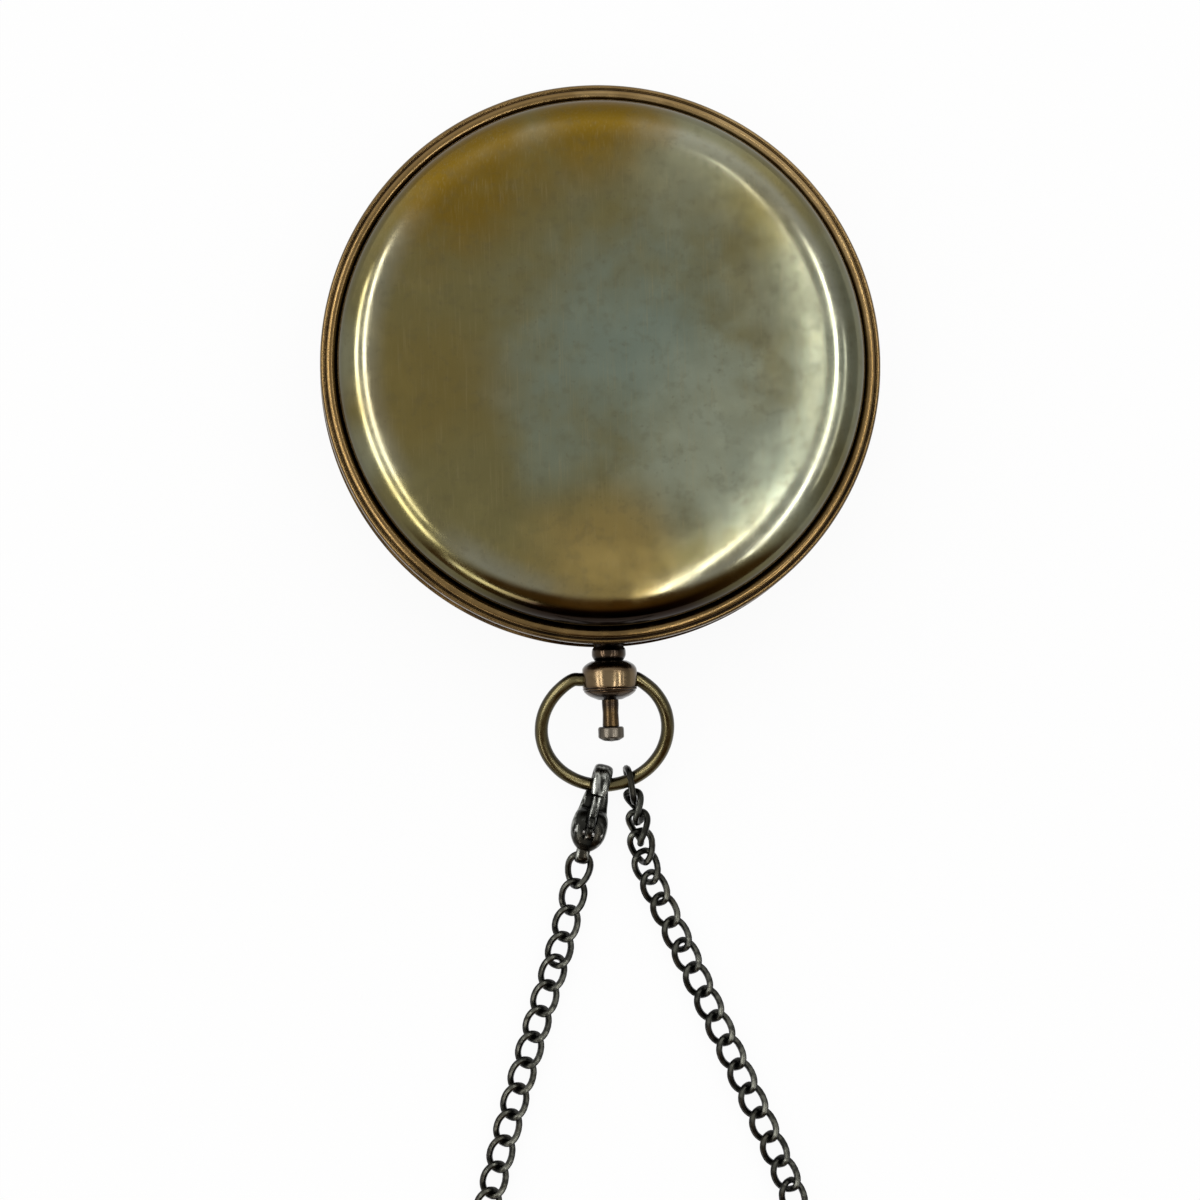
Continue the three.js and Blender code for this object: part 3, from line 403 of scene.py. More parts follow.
def offset(radius, height, rows):
    """Corners of a profile from rows of (further out, higher, wear), counted from one place."""
    return [[radius + out, height + up, wear] for out, up, wear in rows]


def turned(profile, steps=160):
    """A profile of (radius, height, wear) carried round Z: x = r cos t, y = r sin t, z = height."""
    t = np.linspace(0, 2 * np.pi, steps + 1)
    r, height, wear = (column[:, None] for column in np.asarray(profile, float).T)
    level = np.ones_like(t)
    return np.stack([r * np.cos(t), r * np.sin(t), height * level, wear * level], -1)


# %% [markdown]
# ## Patinated brass for the lid
# The lid is brass that was darkened with acid, rubbed back and lacquered. Its colour drifts
# from amber to olive to a cool grey in soft clouds, fine scratches run up and down it, and
# the foot of the dome is dark, partly patina and partly painted shade. Image textures could
# hold that, but clouds of noise with a few placed spots give the same drift and stay sharp at
# any distance. The shoulder is paler, partly rubbed and partly a painted sheen. Pale clouds
# under the lamp lines at its sides are painted highlights, and a warm cloud low in the middle
# is partly a painted glow. The thin clear coat of the shader is the lacquer: it keeps the
# white lines of the lamps crisp. The edge of the top is a little hazier, and the foot beside
# the pendant is painted near black: a painted reflection of the dark room in front.

# %% Mix the lid's finish
OLIVE = (0.112, 0.096, 0.036)
AMBER = (0.12, 0.07, 0.002)
TEAL = (0.123, 0.148, 0.113)
MIST_AND_SHEEN = (0.19, 0.207, 0.15)
HONEY_AND_GLOW = (0.175, 0.128, 0.04)
RUBBED_AND_SHEEN = (0.178, 0.178, 0.14)
DARK_PATINA_AND_SHADE = (0.018, 0.011, 0.004)
PAINTED_DARK_REFLECTION = (0.012, 0.005, 0.001)
SCRATCHED = (0.22, 0.18, 0.09)
SPECK = (0.06, 0.045, 0.02)
MOTTLE = (0.07, 0.06, 0.03)
HAZE = 0.06
# Radii round the lid's middle: where the foot begins, where the haze comes and where it goes
FOOT_RADII = (24.4, 25.0)
HAZE_COMES, HAZE_GOES = (16, 20), (21.5, 23)
# The place where the painted dark reflection is thickest, how far it stays so and where it ends
DARK_REFLECTION_SPREAD = (0, -27, 7, 17)

patina = Finish("patinated_brass", 1.0, 0.2, Coat_Weight=0.12, Coat_Roughness=0.1)
drift = patina.ramp(patina.noise(11, detail=4), 0.25, 0.75, -0.18, 0.18)
drift = patina.sum(drift, patina.ramp(patina.noise(2.5, detail=3), 0.3, 0.7, -0.06, 0.06))


def clouds(colour, under, strength, *spots):
    """A soft cloud of colour over what lies under it, round one or more spots, broken up by the drift."""
    where = patina.spot(*spots[0])
    for spot in spots[1:]:
        where = patina.sum(where, patina.spot(*spot), "MAXIMUM")
    return patina.mix(patina.ramp(patina.sum(where, drift), 0.1, 1.0, 0.0, strength), under, colour)


tone = clouds(TEAL, OLIVE, 1.0, (2, 1, 21))
tone = clouds(TEAL, tone, 0.6, (-5, -9, 9))
tone = clouds(MIST_AND_SHEEN, tone, 1.0, (12, -9, 18))
tone = clouds(MIST_AND_SHEEN, tone, 0.45, (9, 20, 13))
tone = clouds(MIST_AND_SHEEN, tone, 0.6, (19, 5, 15))
# The shoulder's high wear turns it pale: partly rubbed brass, partly a painted sheen of the bright walls
# it mirrors.
tone = patina.mix(patina.ramp(patina.wear(), 1.0, 1.5, 0.0, 0.65), tone, RUBBED_AND_SHEEN)
# These two pale clouds lie under the lamp lines at the left and right of the shoulder and whiten them:
# painted highlights.
tone = clouds(MIST_AND_SHEEN, tone, 0.5, (-27, 1, 8), (-25, -9, 6))
tone = clouds(MIST_AND_SHEEN, tone, 0.65, (22, -3, 10))
tone = clouds(AMBER, tone, 1.0, (-15, 21, 18), (0, 26, 14))
tone = clouds(AMBER, tone, 0.32, (-18, -2, 15))
tone = clouds(OLIVE, tone, 0.9, (-18, -14, 8))
# A warm cloud low in the middle: partly honey tone, partly a painted glow of lamp light.
tone = clouds(HONEY_AND_GLOW, tone, 1.0, (-1, -20, 13))
scratches = patina.noise(0.12, stretch=(1, 40, 1), detail=2.0)
tone = patina.mix(patina.ramp(scratches, 0.52, 0.8, 0.0, 0.24), tone, SCRATCHED)
tone = patina.cloudy(tone, SPECK, 0.35, 0.68, 0.78, 0.25, detail=1.0)
tone = patina.cloudy(tone, MOTTLE, 1.0, 0.5, 0.72, 0.22, detail=5)
# Low wear at the foot turns it dark: patina, and painted shade at the foot of the wall.
tone = patina.mix(patina.ramp(patina.wear(), 0.0, 0.75), DARK_PATINA_AND_SHADE, tone)
# The front of the dome's foot, beside the pendant, is painted near black: a painted reflection of the dark
# room in front.
dark_reflection = patina.sum(patina.ring(0, 0, *FOOT_RADII), patina.ring(*DARK_REFLECTION_SPREAD, 1.0, 0.0), "MULTIPLY")
tone = patina.mix(dark_reflection, tone, PAINTED_DARK_REFLECTION)
patina.set(Base_Color=tone)
haze = patina.ring(0, 0, *HAZE_COMES, 0.0, HAZE)
haze = patina.sum(haze, patina.ring(0, 0, *HAZE_GOES, 1.0, 0.0), "MULTIPLY")
polish = patina.ramp(patina.noise(3, detail=4), 0.3, 0.75, 0.11, 0.21)
patina.set(Roughness=patina.sum(polish, haze))
patina.bump(scratches, 0.0016)
print("lid finish nodes:", len(patina.tree.nodes))

# %% [markdown]
# ## The lid
# The dome is pressed sheet: almost flat on top, then a round shoulder, then a short wall. The
# top falls with the sixth power of the radius, so it is flat in the middle and leans over
# faster and faster at its edge, which gathers the glow there. The shoulder is part of an
# ellipse that takes the slope over where the top leaves it. The inside is the same curve,
# one sheet thickness smaller, so the lid also looks right from below when open.

# %% Press the dome
SHEET = 0.6
CROWN = 0.4
CROWN_POWER = 6
CROWN_SHARE = 0.83
DOME_WALL = 0.3
# Share of the radius and wear: brightest on the shoulder, partly rubbed and partly a painted sheen, and
# dark at the foot, patina and painted shade
DOME_WEAR_SHEEN_AND_SHADE = [[0.8, 1.0], [0.84, 1.2], [0.9, 1.45], [0.94, 1.0], [0.975, 0.6], [1.0, 0.3]]
dome_low, dome_high = span("lid_dome")
rim_low, rim_high = span("lid_rim")


def dome_curve(radius, rise, foot, count):
    """From the top down: h = rise - crown (r / edge)^6 up to the edge, then a piece of an ellipse
    that starts with the slope there and ends upright at the full radius. A few rounds of trial
    find where on the ellipse that slope is."""
    edge = CROWN_SHARE * radius
    r = edge * np.linspace(0, 1, count) ** 0.6
    top = np.column_stack([r, foot + rise - CROWN * (r / edge) ** CROWN_POWER])
    slope = CROWN_POWER * CROWN / edge
    start, drop = 0.18, rise - CROWN
    for _ in range(20):
        wide, high = (radius - edge) / (1 - start), drop / math.sqrt(1 - start**2)
        start = slope * wide / math.hypot(high, slope * wide)
    q = np.sin(np.linspace(math.asin(start), np.pi / 2, count))
    side = np.column_stack([radius - wide * (1 - q), foot + high * np.sqrt(1 - q**2)])
    curve = np.concatenate([top[:-1], side])
    wear = np.interp(curve[:, 0] / radius, *np.transpose(DOME_WEAR_SHEEN_AND_SHADE))
    return np.column_stack([curve, wear])


dome_radius = dome_high[0]
dome_spring = rim_high[2] + DOME_WALL
dome_rise = dome_high[2] - dome_spring
outside = dome_curve(dome_radius, dome_rise, dome_spring, 48)
inside = dome_curve(dome_radius - SHEET, dome_rise - SHEET, dome_spring, 24)
dome_foot = [[dome_radius, dome_low[2], 0.0], [dome_radius - SHEET, dome_low[2], 0.6]]
inside[:, 2] = 0.9
dome = np.concatenate([outside, dome_foot, inside[::-1]])
piece("dome_shell", [turned(dome, 224)], patina, "lid", "lid_dome", slot="antique_brass")

# %% [markdown]
# ## Turned brass for the rim and the case
# The rim, the band and the pendant were turned, darkened and rubbed. Their crests are warm
# brass and their grooves are nearly black, which is the whole charm of the finish. The wear
# value carries that, and above 1 it gives a paler brass that only the rim's lit side reaches:
# painted light. A little noise breaks up the tone.

# %% Mix the turned finish
PAINTED_LIT_BRASS = (0.215, 0.144, 0.06)


def turned_brass(name, bright, middle, dark, roughness):
    """Dark grooves, middle flanks, bright crests and painted light by wear, cloudy, with a fine grain."""
    made = Finish(name, 1.0, roughness, Coat_Weight=0.15, Coat_Roughness=0.15)
    rubbed = made.sum(made.wear(), made.ramp(made.noise(4, detail=4), 0.3, 0.7, -0.14, 0.14))
    colour = made.mix(made.ramp(rubbed, 0.05, 0.5), dark, middle)
    colour = made.mix(made.ramp(rubbed, 0.55, 1.0), colour, bright)
    colour = made.mix(made.ramp(rubbed, 1.15, 1.6), colour, PAINTED_LIT_BRASS)
    grain = made.noise(0.2, detail=3)
    colour = made.mix(made.ramp(grain, 0.6, 0.75, 0.0, 0.1), colour, dark)
    made.set(Base_Color=colour)
    smooth, rough = roughness - 0.06, roughness + 0.1
    made.set(Roughness=made.ramp(made.noise(1.2, detail=4), 0.3, 0.7, smooth, rough))
    made.bump(grain, 0.0008)
    return made


TURNED = (
    ("rubbed_case_brass", (0.122, 0.075, 0.025), (0.074, 0.044, 0.013), (0.012, 0.006, 0.002), 0.2),
    ("coppery_brass", (0.14, 0.098, 0.05), (0.06, 0.036, 0.017), (0.01, 0.006, 0.003), 0.18),
    ("olive_brass", (0.085, 0.07, 0.03), (0.04, 0.032, 0.013), (0.008, 0.006, 0.002), 0.24),
    ("greyed_brass", (0.1, 0.086, 0.066), (0.05, 0.042, 0.032), (0.01, 0.008, 0.006), 0.28),
)
case_brass, pendant_brass, ring_brass, button_brass = (turned_brass(*recipe) for recipe in TURNED)
print("turned finishes:", len(TURNED))

# %% [markdown]
# ## The rim, the band and the back
# Seen from above, the rim is two round beads, a broad one beside the dome and a lower, narrow
# one outside it, with a dark groove between. It is painted lighter at the upper right and darker
# at the lower right: painted light and shade. Below it the band has a bead at its foot, a hair
# wider than the rim so that its edge shows, and the back is a shallow dish. The radii come from
# the frame. The band also has a notch for the hinge: points of the turned grid inside the notch
# are simply pushed back to its wall.

# %% Turn the rim
FIT = 0.05
LIP_SPACE = 2.8
LIP_WALL = 0.4
RIM_DEPTH = 1.6
# Directions round the rim where light and shade are painted most, and the wear added and taken off
LIT_SIDE, PAINTED_LIGHT = math.radians(50), 0.55
SHADED_SIDE, PAINTED_SHADE = math.radians(-55), 0.25
case_radius = rim_high[0]
rim_top, lip_foot = rim_high[2], rim_low[2]
rim_foot = rim_top - RIM_DEPTH
seat = dome_radius + FIT
lip_out = case_radius - LIP_SPACE
rim_corners = [
    [lip_out - LIP_WALL, lip_foot, 0.7], [lip_out, lip_foot, 0.7], [lip_out, rim_foot, 0.2],
    *offset(case_radius, rim_foot, [[-0.45, 0, 0.1], [-0.04, 0.3, 0.5]]),
    *offset(case_radius, rim_top, [
        [0, -0.85, 0.6], [-0.05, -0.5, 0.8], [-0.2, -0.3, 0.9], [-0.4, -0.26, 0.8],
        [-0.5, -0.38, 0.15], [-0.6, -0.26, 0.7], [-0.72, -0.1, 0.95], [-0.95, -0.02, 1.0],
        [-1.1, 0, 1.0], [-1.3, -0.04, 1.0], [-1.48, -0.14, 0.85], [-1.6, -0.3, 0.5],
    ]),
    [seat, rim_top - 0.38, 0.2], [seat, dome_low[2], 0.0], [lip_out - LIP_WALL, dome_low[2], 0.6],
]
rim = turned(eased(closed(rim_corners)), 224)
around = np.arctan2(rim[..., 1], rim[..., 0])


def lobe(middle):
    """1 at one direction round the rim, falling to 0 a quarter turn from it: cos(t)^2."""
    return np.clip(np.cos(around - middle), 0, 1) ** 2


# The rim's wear is raised at the upper right and lowered at the lower right: painted light and shade.
rim[..., 3] += PAINTED_LIGHT * lobe(LIT_SIDE) - PAINTED_SHADE * lobe(SHADED_SIDE)
piece("rim_bead", [rim], case_brass, "lid", "lid_rim", slot="warm_brass")

# %% Turn the band, with the hinge's notch
BAND_INSET, BORE_INSET, BEAD_PROUD = 0.5, 2.6, 0.2
NOTCH_ROOM, NOTCH_SLIT, NOTCH_GAP = 0.2, 0.02, 0.01
band_low, band_high = span("case_band")
knuckle_low, _ = span("case_knuckle_left")
ring_low, ring_high = span("hour_ring")
band_radius, band_bore = case_radius - BAND_INSET, case_radius - BORE_INSET
band_foot, band_top = band_low[2], band_high[2]
bead_radius = case_radius + BEAD_PROUD
ledge = ring_low[2]
notch_foot = knuckle_low[2] - NOTCH_SLIT
band_corners = [
    [band_bore, band_foot, 0.3], [band_radius, band_foot, 0.05],
    *offset(bead_radius, band_foot, [[0, 0.35, 0.4], [0, 0.95, 0.4]]),
    [band_radius, band_foot + 1.3, 0.05],
    *offset(band_radius, notch_foot, [[0, -NOTCH_SLIT, 0.42], [0, NOTCH_SLIT, 0.42]]),
    *offset(band_radius, band_top, [
        [0, -0.9, 0.5], [-0.12, -0.78, 0.0], [0, -0.66, 0.5], [0, -0.3, 0.6], [-0.3, 0, 0.85],
    ]),
    [band_bore, band_top, 0.5],
    *offset(band_bore, ledge, [[0, 0, 0.2], [-2.8, 0, 0.3], [-2.8, -1.0, 0.2], [0, -1.0, 0.2]]),
]
band = turned(eased(closed(band_corners), steps=4), 640)
notch_wall = knuckle_low[1] - NOTCH_GAP
in_notch = (np.abs(band[..., 0]) < -knuckle_low[0] + NOTCH_ROOM) & (band[..., 2] > notch_foot)
band[..., 1] = np.where(in_notch, np.minimum(band[..., 1], notch_wall), band[..., 1])
piece("band_ring", [band], case_brass, "case", "case_band", slot="antique_brass")

# %% Spin the back
_, back_high = span("back_cover")
BACK_FLAT = 19.0
t = np.linspace(np.pi / 2, 0, 20)
back_depth = back_high[2]
back_wide = back_high[0] - BACK_FLAT


def dished(wide, deep, wear):
    """A quarter of an ellipse from the flat of the back out to its edge, with its wear."""
    return np.column_stack([BACK_FLAT + wide * np.cos(t), back_depth - deep * np.sin(t), wear])


under = dished(back_wide, back_depth, 0.35 + 0.2 * np.sin(t))
over = dished(back_wide - SHEET, back_depth - SHEET, 0.3 + 0 * t)
tool_ring = [[0, 0, 0.6], [14.7, 0, 0.6], [14.85, 0.1, 0.0], [15.0, 0, 0.6]]
back = np.concatenate([tool_ring, under, over[::-1], [[0, SHEET, 0.3]]])
piece("back_dish", [turned(back, 200)], case_brass, "case", "back_cover", slot="antique_brass")

# %% [markdown]
# ## Smooth curves through points
# Some outlines are easier to give as a few points that a curve runs through. This is the
# centripetal Catmull-Rom spline, the same one that the CAD frame used for its wires, so a
# fine wire bent along it lies exactly where the plain one does.

# %% Write the curve
def routed(points, steps=24):
    """A smooth curve through the points: on each leg a cubic whose end slopes come from the
    neighbouring points, weighted by the square roots of their distances."""
    p = np.asarray(points, float)
    p = np.concatenate([2 * p[:1] - p[1:2], p, 2 * p[-1:] - p[-2:-1]])
    d = np.sqrt(np.linalg.norm(np.diff(p, axis=0), axis=1))[:, None]
    p0, p1, p2, p3 = p[:-3], p[1:-2], p[2:-1], p[3:]
    d0, d1, d2 = d[:-2], d[1:-1], d[2:]
    out = d1 * ((p1 - p0) / d0 - (p2 - p0) / (d0 + d1) + (p2 - p1) / d1)
    back = d1 * ((p2 - p1) / d1 - (p3 - p1) / (d1 + d2) + (p3 - p2) / d2)
    s = np.linspace(0, 1, steps, endpoint=False)[None, :, None]
    bend, swing = 3 * (p2 - p1) - 2 * out - back, 2 * (p1 - p2) + out + back
    legs = p1[:, None] + s * (out[:, None] + s * (bend[:, None] + s * swing[:, None]))
    return np.concatenate([legs.reshape(-1, p.shape[1]), p[-2:-1]])


# %% [markdown]
# ## The pendant and the push button
# The pendant is turned about an axis that runs out from the case, so the lathe's grid is laid
# over: its height becomes distance along -Y. The ball has two fine tool lines near its outer
# end, and flats on its sides where the ring enters. Both its ends are dark, and the end in the
# hollow under the collar is painted shade. The button is a stem with a small cylindrical head,
# slightly domed.

# %% Turn the pendant
collar_low, collar_high = span("pendant_neck")
ball_low, ball_high = span("pendant_ball")
head_low, head_high = span("button_head")
stem_low, stem_high = span("button_stem")
pendant_z = (ball_low[2] + ball_high[2]) / 2
ball_radius = (ball_high[2] - ball_low[2]) / 2
ball_start, ball_end = -ball_high[1], -ball_low[1]
collar_radius = collar_high[0]
STEM_RADIUS, BORE = 0.85, 0.95
COLLAR_SUNK = 0.4


def laid_out(grid):
    """A grid turned about Z, laid over so that its height runs outwards along -Y."""
    x, y, height, wear = np.moveaxis(grid, -1, 0)
    return np.stack([x, -height, pendant_z + y, wear], -1)


collar_in, collar_out = -collar_high[1], -collar_low[1]
collar_root = case_radius - COLLAR_SUNK
neck = [
    [BORE, collar_in, 0.1], [collar_radius - 0.4, collar_in, 0.1],
    *offset(collar_radius, collar_root, [
        [-0.4, 0, 0.0], [-0.24, 0.1, 0.0], [-0.22, 0.62, 0.0], [-0.06, 0.78, 0.1],
        [0, 1.05, 0.2], [0, 1.45, 0.25], [-0.08, 1.68, 0.1],
    ]),
    [collar_radius - 0.3, collar_out, 0.0], [BORE, collar_out, 0.0],
]
collar = laid_out(turned(eased(closed(neck)), 64))
piece("neck_collar", [collar], pendant_brass, "case", "pendant_neck", slot="warm_brass")

# The ball by the share of its length: how wide it is, and how rubbed, with painted shade at the collar end
BALL_SHAPE = [
    [0, 0.62], [0.05, 0.76], [0.13, 0.9], [0.25, 0.985], [0.45, 1.0],
    [0.7, 0.975], [0.8, 0.9], [0.9, 0.73], [0.97, 0.52], [1, 0.42],
]
BALL_WEAR_AND_SHADE = [[0, 0], [0.1, 0], [0.2, 0.6], [0.34, 0.85], [0.6, 0.9], [0.82, 0.45], [1, 0]]
BALL_FLAT = 2.72
TOOL_LINES, TOOL_WIDTH, TOOL_DEPTH, TOOL_DARK = (0.7, 0.76), 0.012, 0.07, 0.7
share, swell = routed(BALL_SHAPE, 8).T
tool_lines = sum(np.exp(-(((share - line) / TOOL_WIDTH) ** 2)) for line in TOOL_LINES)
crest = np.interp(share, *np.transpose(BALL_WEAR_AND_SHADE)) - TOOL_DARK * tool_lines
ball_outline = ball_radius * swell - TOOL_DEPTH * tool_lines
ball = np.column_stack([ball_outline, ball_start + (ball_end - ball_start) * share, crest])
ball = np.concatenate([[[BORE, ball_start, 0]], ball, [[BORE, ball_end, 0], [BORE, ball_start, 0]]])
ball = laid_out(turned(ball, 96))
ball[..., 0] = np.clip(ball[..., 0], -BALL_FLAT, BALL_FLAT)
piece("pendant_bulb", [ball], pendant_brass, "case", "pendant_ball", slot="warm_brass")

# %% Turn the push button
stem_in, stem_out = -stem_high[1], -stem_low[1]
stem_foot, foot_top = stem_high[0], stem_in + 0.8
stem = [
    [0, stem_in, 0.2], [stem_foot, stem_in, 0.3], [stem_foot, foot_top, 0.3],
    [STEM_RADIUS, foot_top, 0.3], [STEM_RADIUS, ball_end, 0.3], [STEM_RADIUS, ball_end + 0.5, 0.2],
    [0.94 * STEM_RADIUS, ball_end + 1.3, 0.4], [STEM_RADIUS, stem_out, 0.3], [0, stem_out, 0.3],
]
stem_grid = laid_out(turned(eased(stem, 0.1), 48))
piece("button_shank", [stem_grid], case_brass, "button", "button_stem", slot="warm_brass")
head_radius = head_high[0]
head_in, head_out = -head_high[1], -head_low[1]
head = [
    [0, head_in, 0.2], [0.9 * head_radius, head_in, 0.2],
    *offset(head_radius, head_in, [[0, 0.15, 0.8], [0, 1.05, 0.7]]),
    [0.92 * head_radius, head_in + 1.17, 0.9], [0.6 * head_radius, head_out - 0.1, 0.6],
    [0, head_out, 0.5],
]
head_grid = laid_out(turned(eased(head), 48))
piece("button_cap", [head_grid], button_brass, "button", "button_head", slot="warm_brass")

# %% [markdown]
# ## Bending wire
# The bow, the chain's links and the clasp's eye are wire: a round section carried along a
# path. At each place the path's own direction gives one axis, and a fixed facing direction
# gives the other two. The skin that faces that way gets a high wear value and the sides a low
# one: painted light on the faces and painted shade on the edges.

# %% Write the wire bender
def lengths(curve):
    """The length along a curve at each of its points."""
    steps = np.linalg.norm(np.diff(curve, axis=0), axis=1)
    return np.concatenate([[0.0], np.cumsum(steps)])


def at(curve, s):
    """Places and directions on a curve at lengths s along it."""
    travelled = lengths(curve)
    pick = lambda where: np.column_stack([np.interp(where, travelled, c) for c in curve.T])
    return pick(s), unit(pick(s + 0.05) - pick(s - 0.05))


def wire(path, radius, face, sides=12, ring=False):
    """A round section carried along a path: place + radius (cos p side + sin p over), where over is
    the part of `face` square to the path. An open wire is closed by a flat end; a ring meets itself."""
    path, face = np.asarray(path, float), np.asarray(face, float)
    first, last = path[-2:-1], path[1:2]
    if not ring:
        first, last = 2 * path[:1] - path[1:2], 2 * path[-1:] - path[-2:-1]
    near = np.concatenate([first, path, last])
    along = unit(near[2:] - near[:-2])
    over = unit(face - (along @ face)[:, None] * along)
    side = np.cross(over, along)
    thick = np.full(len(path), float(radius))
    if not ring:
        path, along, over, side = (np.concatenate([v[:1], v, v[-1:]]) for v in (path, along, over, side))
        thick = np.concatenate([[0], thick, [0]])
    p = np.linspace(0, 2 * np.pi, sides + 1)[None, :, None]
    normal = np.cos(p) * side[:, None] + np.sin(p) * over[:, None]
    skin = path[:, None] + thick[:, None, None] * normal
    # The wear is how squarely the skin faces `face`: painted light on the faces, painted shade on the
    # edges.
    return np.concatenate([skin, np.abs(normal @ face)[..., None]], -1)


# %% [markdown]
# ## The bow
# The bow is a round ring of brass wire, sprung into the ball at its two ends. It hangs a
# little to one side and droops until the clasp under it meets the table. Both its faces are
# painted bright and its edges dark: painted light and shade.

# %% Bend the bow
BOW_RADIUS = 6.42
BOW_WIRE = 1.36
BOW_REACH = 12.02
BOW_EAR = 3.16
BOW_REST = 1.63
BOW_TRUNNION = 1.6
BOW_SHIFT = -0.5
bow_joint = next(j for j in frame["joints"] if j["name"] == "bow_swing")
bow_pivot = np.array(bow_joint["pos_m"]) / MM
bow_drop = BOW_REACH - BOW_RADIUS
droop = math.asin((bow_pivot[2] - BOW_REST) / BOW_REACH)
bow_down = np.array([0, math.cos(droop), math.sin(droop)])
bow_face = np.array([0, -math.sin(droop), math.cos(droop)])
half_gap = math.asin(BOW_EAR / BOW_RADIUS)
angle = np.pi / 2 + half_gap + (2 * np.pi - 2 * half_gap) * np.linspace(0, 1, 15)
hoop = BOW_RADIUS * np.column_stack([np.cos(angle), np.sin(angle)]) + [BOW_SHIFT, -bow_drop]
ear_y = 0.3 * (BOW_RADIUS * math.cos(half_gap) - bow_drop)
ear = lambda side: [0.85 * side * BOW_EAR + 0.5 * BOW_SHIFT, ear_y]
plan = np.concatenate([[[-BOW_TRUNNION, 0], ear(-1)], hoop, [ear(1), [BOW_TRUNNION, 0]]])
bow_curve = bow_pivot + routed(plan[:, :1] * [1.0, 0, 0] + plan[:, 1:] * bow_down, 8)
bow_grid = wire(bow_curve, BOW_WIRE / 2, bow_face, 20)
piece("bow_ring", [bow_grid], ring_brass, "bow", "bow", slot="antique_brass")


def on_bow(x):
    """The bow's centreline at a given x on its far side."""
    reach = bow_drop + math.sqrt(BOW_RADIUS**2 - (x - BOW_SHIFT) ** 2)
    return bow_pivot + np.array([x, 0, 0]) - reach * bow_down


# %% [markdown]
# ## Gunmetal for the chain and clasp
# The chain is blackened steel. It is almost black, with grey on the faces of its links, which
# is painted light, and a faint brown bloom. The clasp was tumbled after blackening, so its ridges shine.

# %% Mix the gunmetal
SOOT = (0.014, 0.014, 0.012)
BLOOM = (0.034, 0.028, 0.018)


def gunmetal(name, bright, roughness, cloud, spread, grain, brushed=1):
    """Near-black metal that wear brightens, in clouds of a size and spread that brushing draws out
    along Y, with patches of brown bloom and a grain of a given depth."""
    made = Finish(name, 1.0, roughness)
    patches = made.ramp(made.noise(cloud, (1, brushed, 1), 4), 0.3, 0.7, -spread, spread)
    colour = made.mix(made.ramp(made.sum(made.wear(), patches), 0.55, 1.05), SOOT, bright)
    made.set(Base_Color=made.cloudy(colour, BLOOM, 3.5, 0.52, 0.7, 0.4))
    made.bump(made.noise(0.16, detail=3), grain)
    return made


chain_metal = gunmetal("blackened_steel", (0.07, 0.07, 0.058), 0.3, 0.7, 0.2, 0.003)
clasp_metal = gunmetal("tumbled_gunmetal", (0.26, 0.265, 0.24), 0.24, 0.35, 0.26, 0.002, brushed=5)
print("dark finishes:", chain_metal.material.name, clasp_metal.material.name)

# %% [markdown]
# ## The clasp
# A lobster clasp stands on edge round the bow: a hook, a swollen body with a slot, an eye,
# and a sprung lever with a thumb tab in the slot. The hook and body are one section carried
# along a hooked path, and the section's two half sizes change on the way, so it is drawn as
# a table of stations. Points of the body that fall in the slot are pressed down to its floor.

# %% Forge the clasp's body
UP = np.array([0.0, 0.0, 1.0])
TABLE_GAP = 0.03
CLASP_YAW = math.radians(15.8)
CLASP_X = -1.0
CLASP_EYE, EYE_HEIGHT = 9.0, 1.3
EYE_RADIUS, EYE_WIRE, EYE_BROAD = 0.81, 0.44, 3.0
HOOK_REACH, HOOK_TOP = 1.75, 2.2
SLOT_START, SLOT_END, SLOT_HALF, SLOT_FLOOR = 4.3, 8.0, 0.5, 1.4
clasp_along = np.array([-math.sin(CLASP_YAW), -math.cos(CLASP_YAW), 0.0])
clasp_side = np.cross(clasp_along, UP)
clasp_start = on_bow(CLASP_X) - HOOK_REACH * clasp_along
clasp_start[2] = 0.0


def squared(wave, power):
    """A wave made squarer: its sign times its size to a power below 1."""
    return np.sign(wave) * np.abs(wave) ** power


def clasped(u, v, w, wear):
    """Places from the clasp's own axes: u from hook to eye, v up, w across."""
    places = clasp_start + u[..., None] * clasp_along + w[..., None] * clasp_side
    return np.concatenate([places + v[..., None] * UP, wear[..., None]], -1)


# Along the hook: u, v, half thickness, half width
stations = [
    [2.7, 2.95, 0.3, 0.72], [1.7, 3.0, 0.42, 0.9], [0.6, 2.68, 0.46, 0.95], [0.02, 1.75, 0.46, 0.95],
    [0.5, 0.86, 0.44, 0.97], [1.7, 0.4, 0.33, 1.0], [3.2, 0.5, 0.44, 1.3], [4.5, 0.75, 0.66, 1.5],
    [5.5, 1.35, 1.2, 1.8], [6.5, 1.55, 1.45, 1.85], [7.4, 1.52, 1.38, 1.65], [8.1, 1.42, 1.05, 1.2],
    [8.6, 1.34, 0.75, 0.6],
]
hook = routed(stations, 10)
tangent = unit(np.gradient(hook[:, :2], axis=0))
normal = np.column_stack([-tangent[:, 1], tangent[:, 0]])
hook = np.concatenate([hook[:1] * [1, 1, 0, 0], hook, hook[-1:] * [1, 1, 0, 0]])
normal = np.concatenate([normal[:1], normal, normal[-1:]])
p = np.linspace(0, 2 * np.pi, 97)
across, through = squared(np.cos(p), 0.8), squared(np.sin(p), 0.8)
u = hook[:, :1] + normal[:, :1] * hook[:, 2:3] * through
v = hook[:, 1:2] + normal[:, 1:] * hook[:, 2:3] * through
w = hook[:, 3:] * across
in_slot = (np.abs(w) < SLOT_HALF) & (u > SLOT_START) & (u < SLOT_END) & (through > 0)
w = np.where(in_slot & (np.abs(w) > 0.7 * SLOT_HALF), SLOT_HALF * np.sign(w), w)
wear = 0.35 + 0.5 * np.abs(across) ** 3
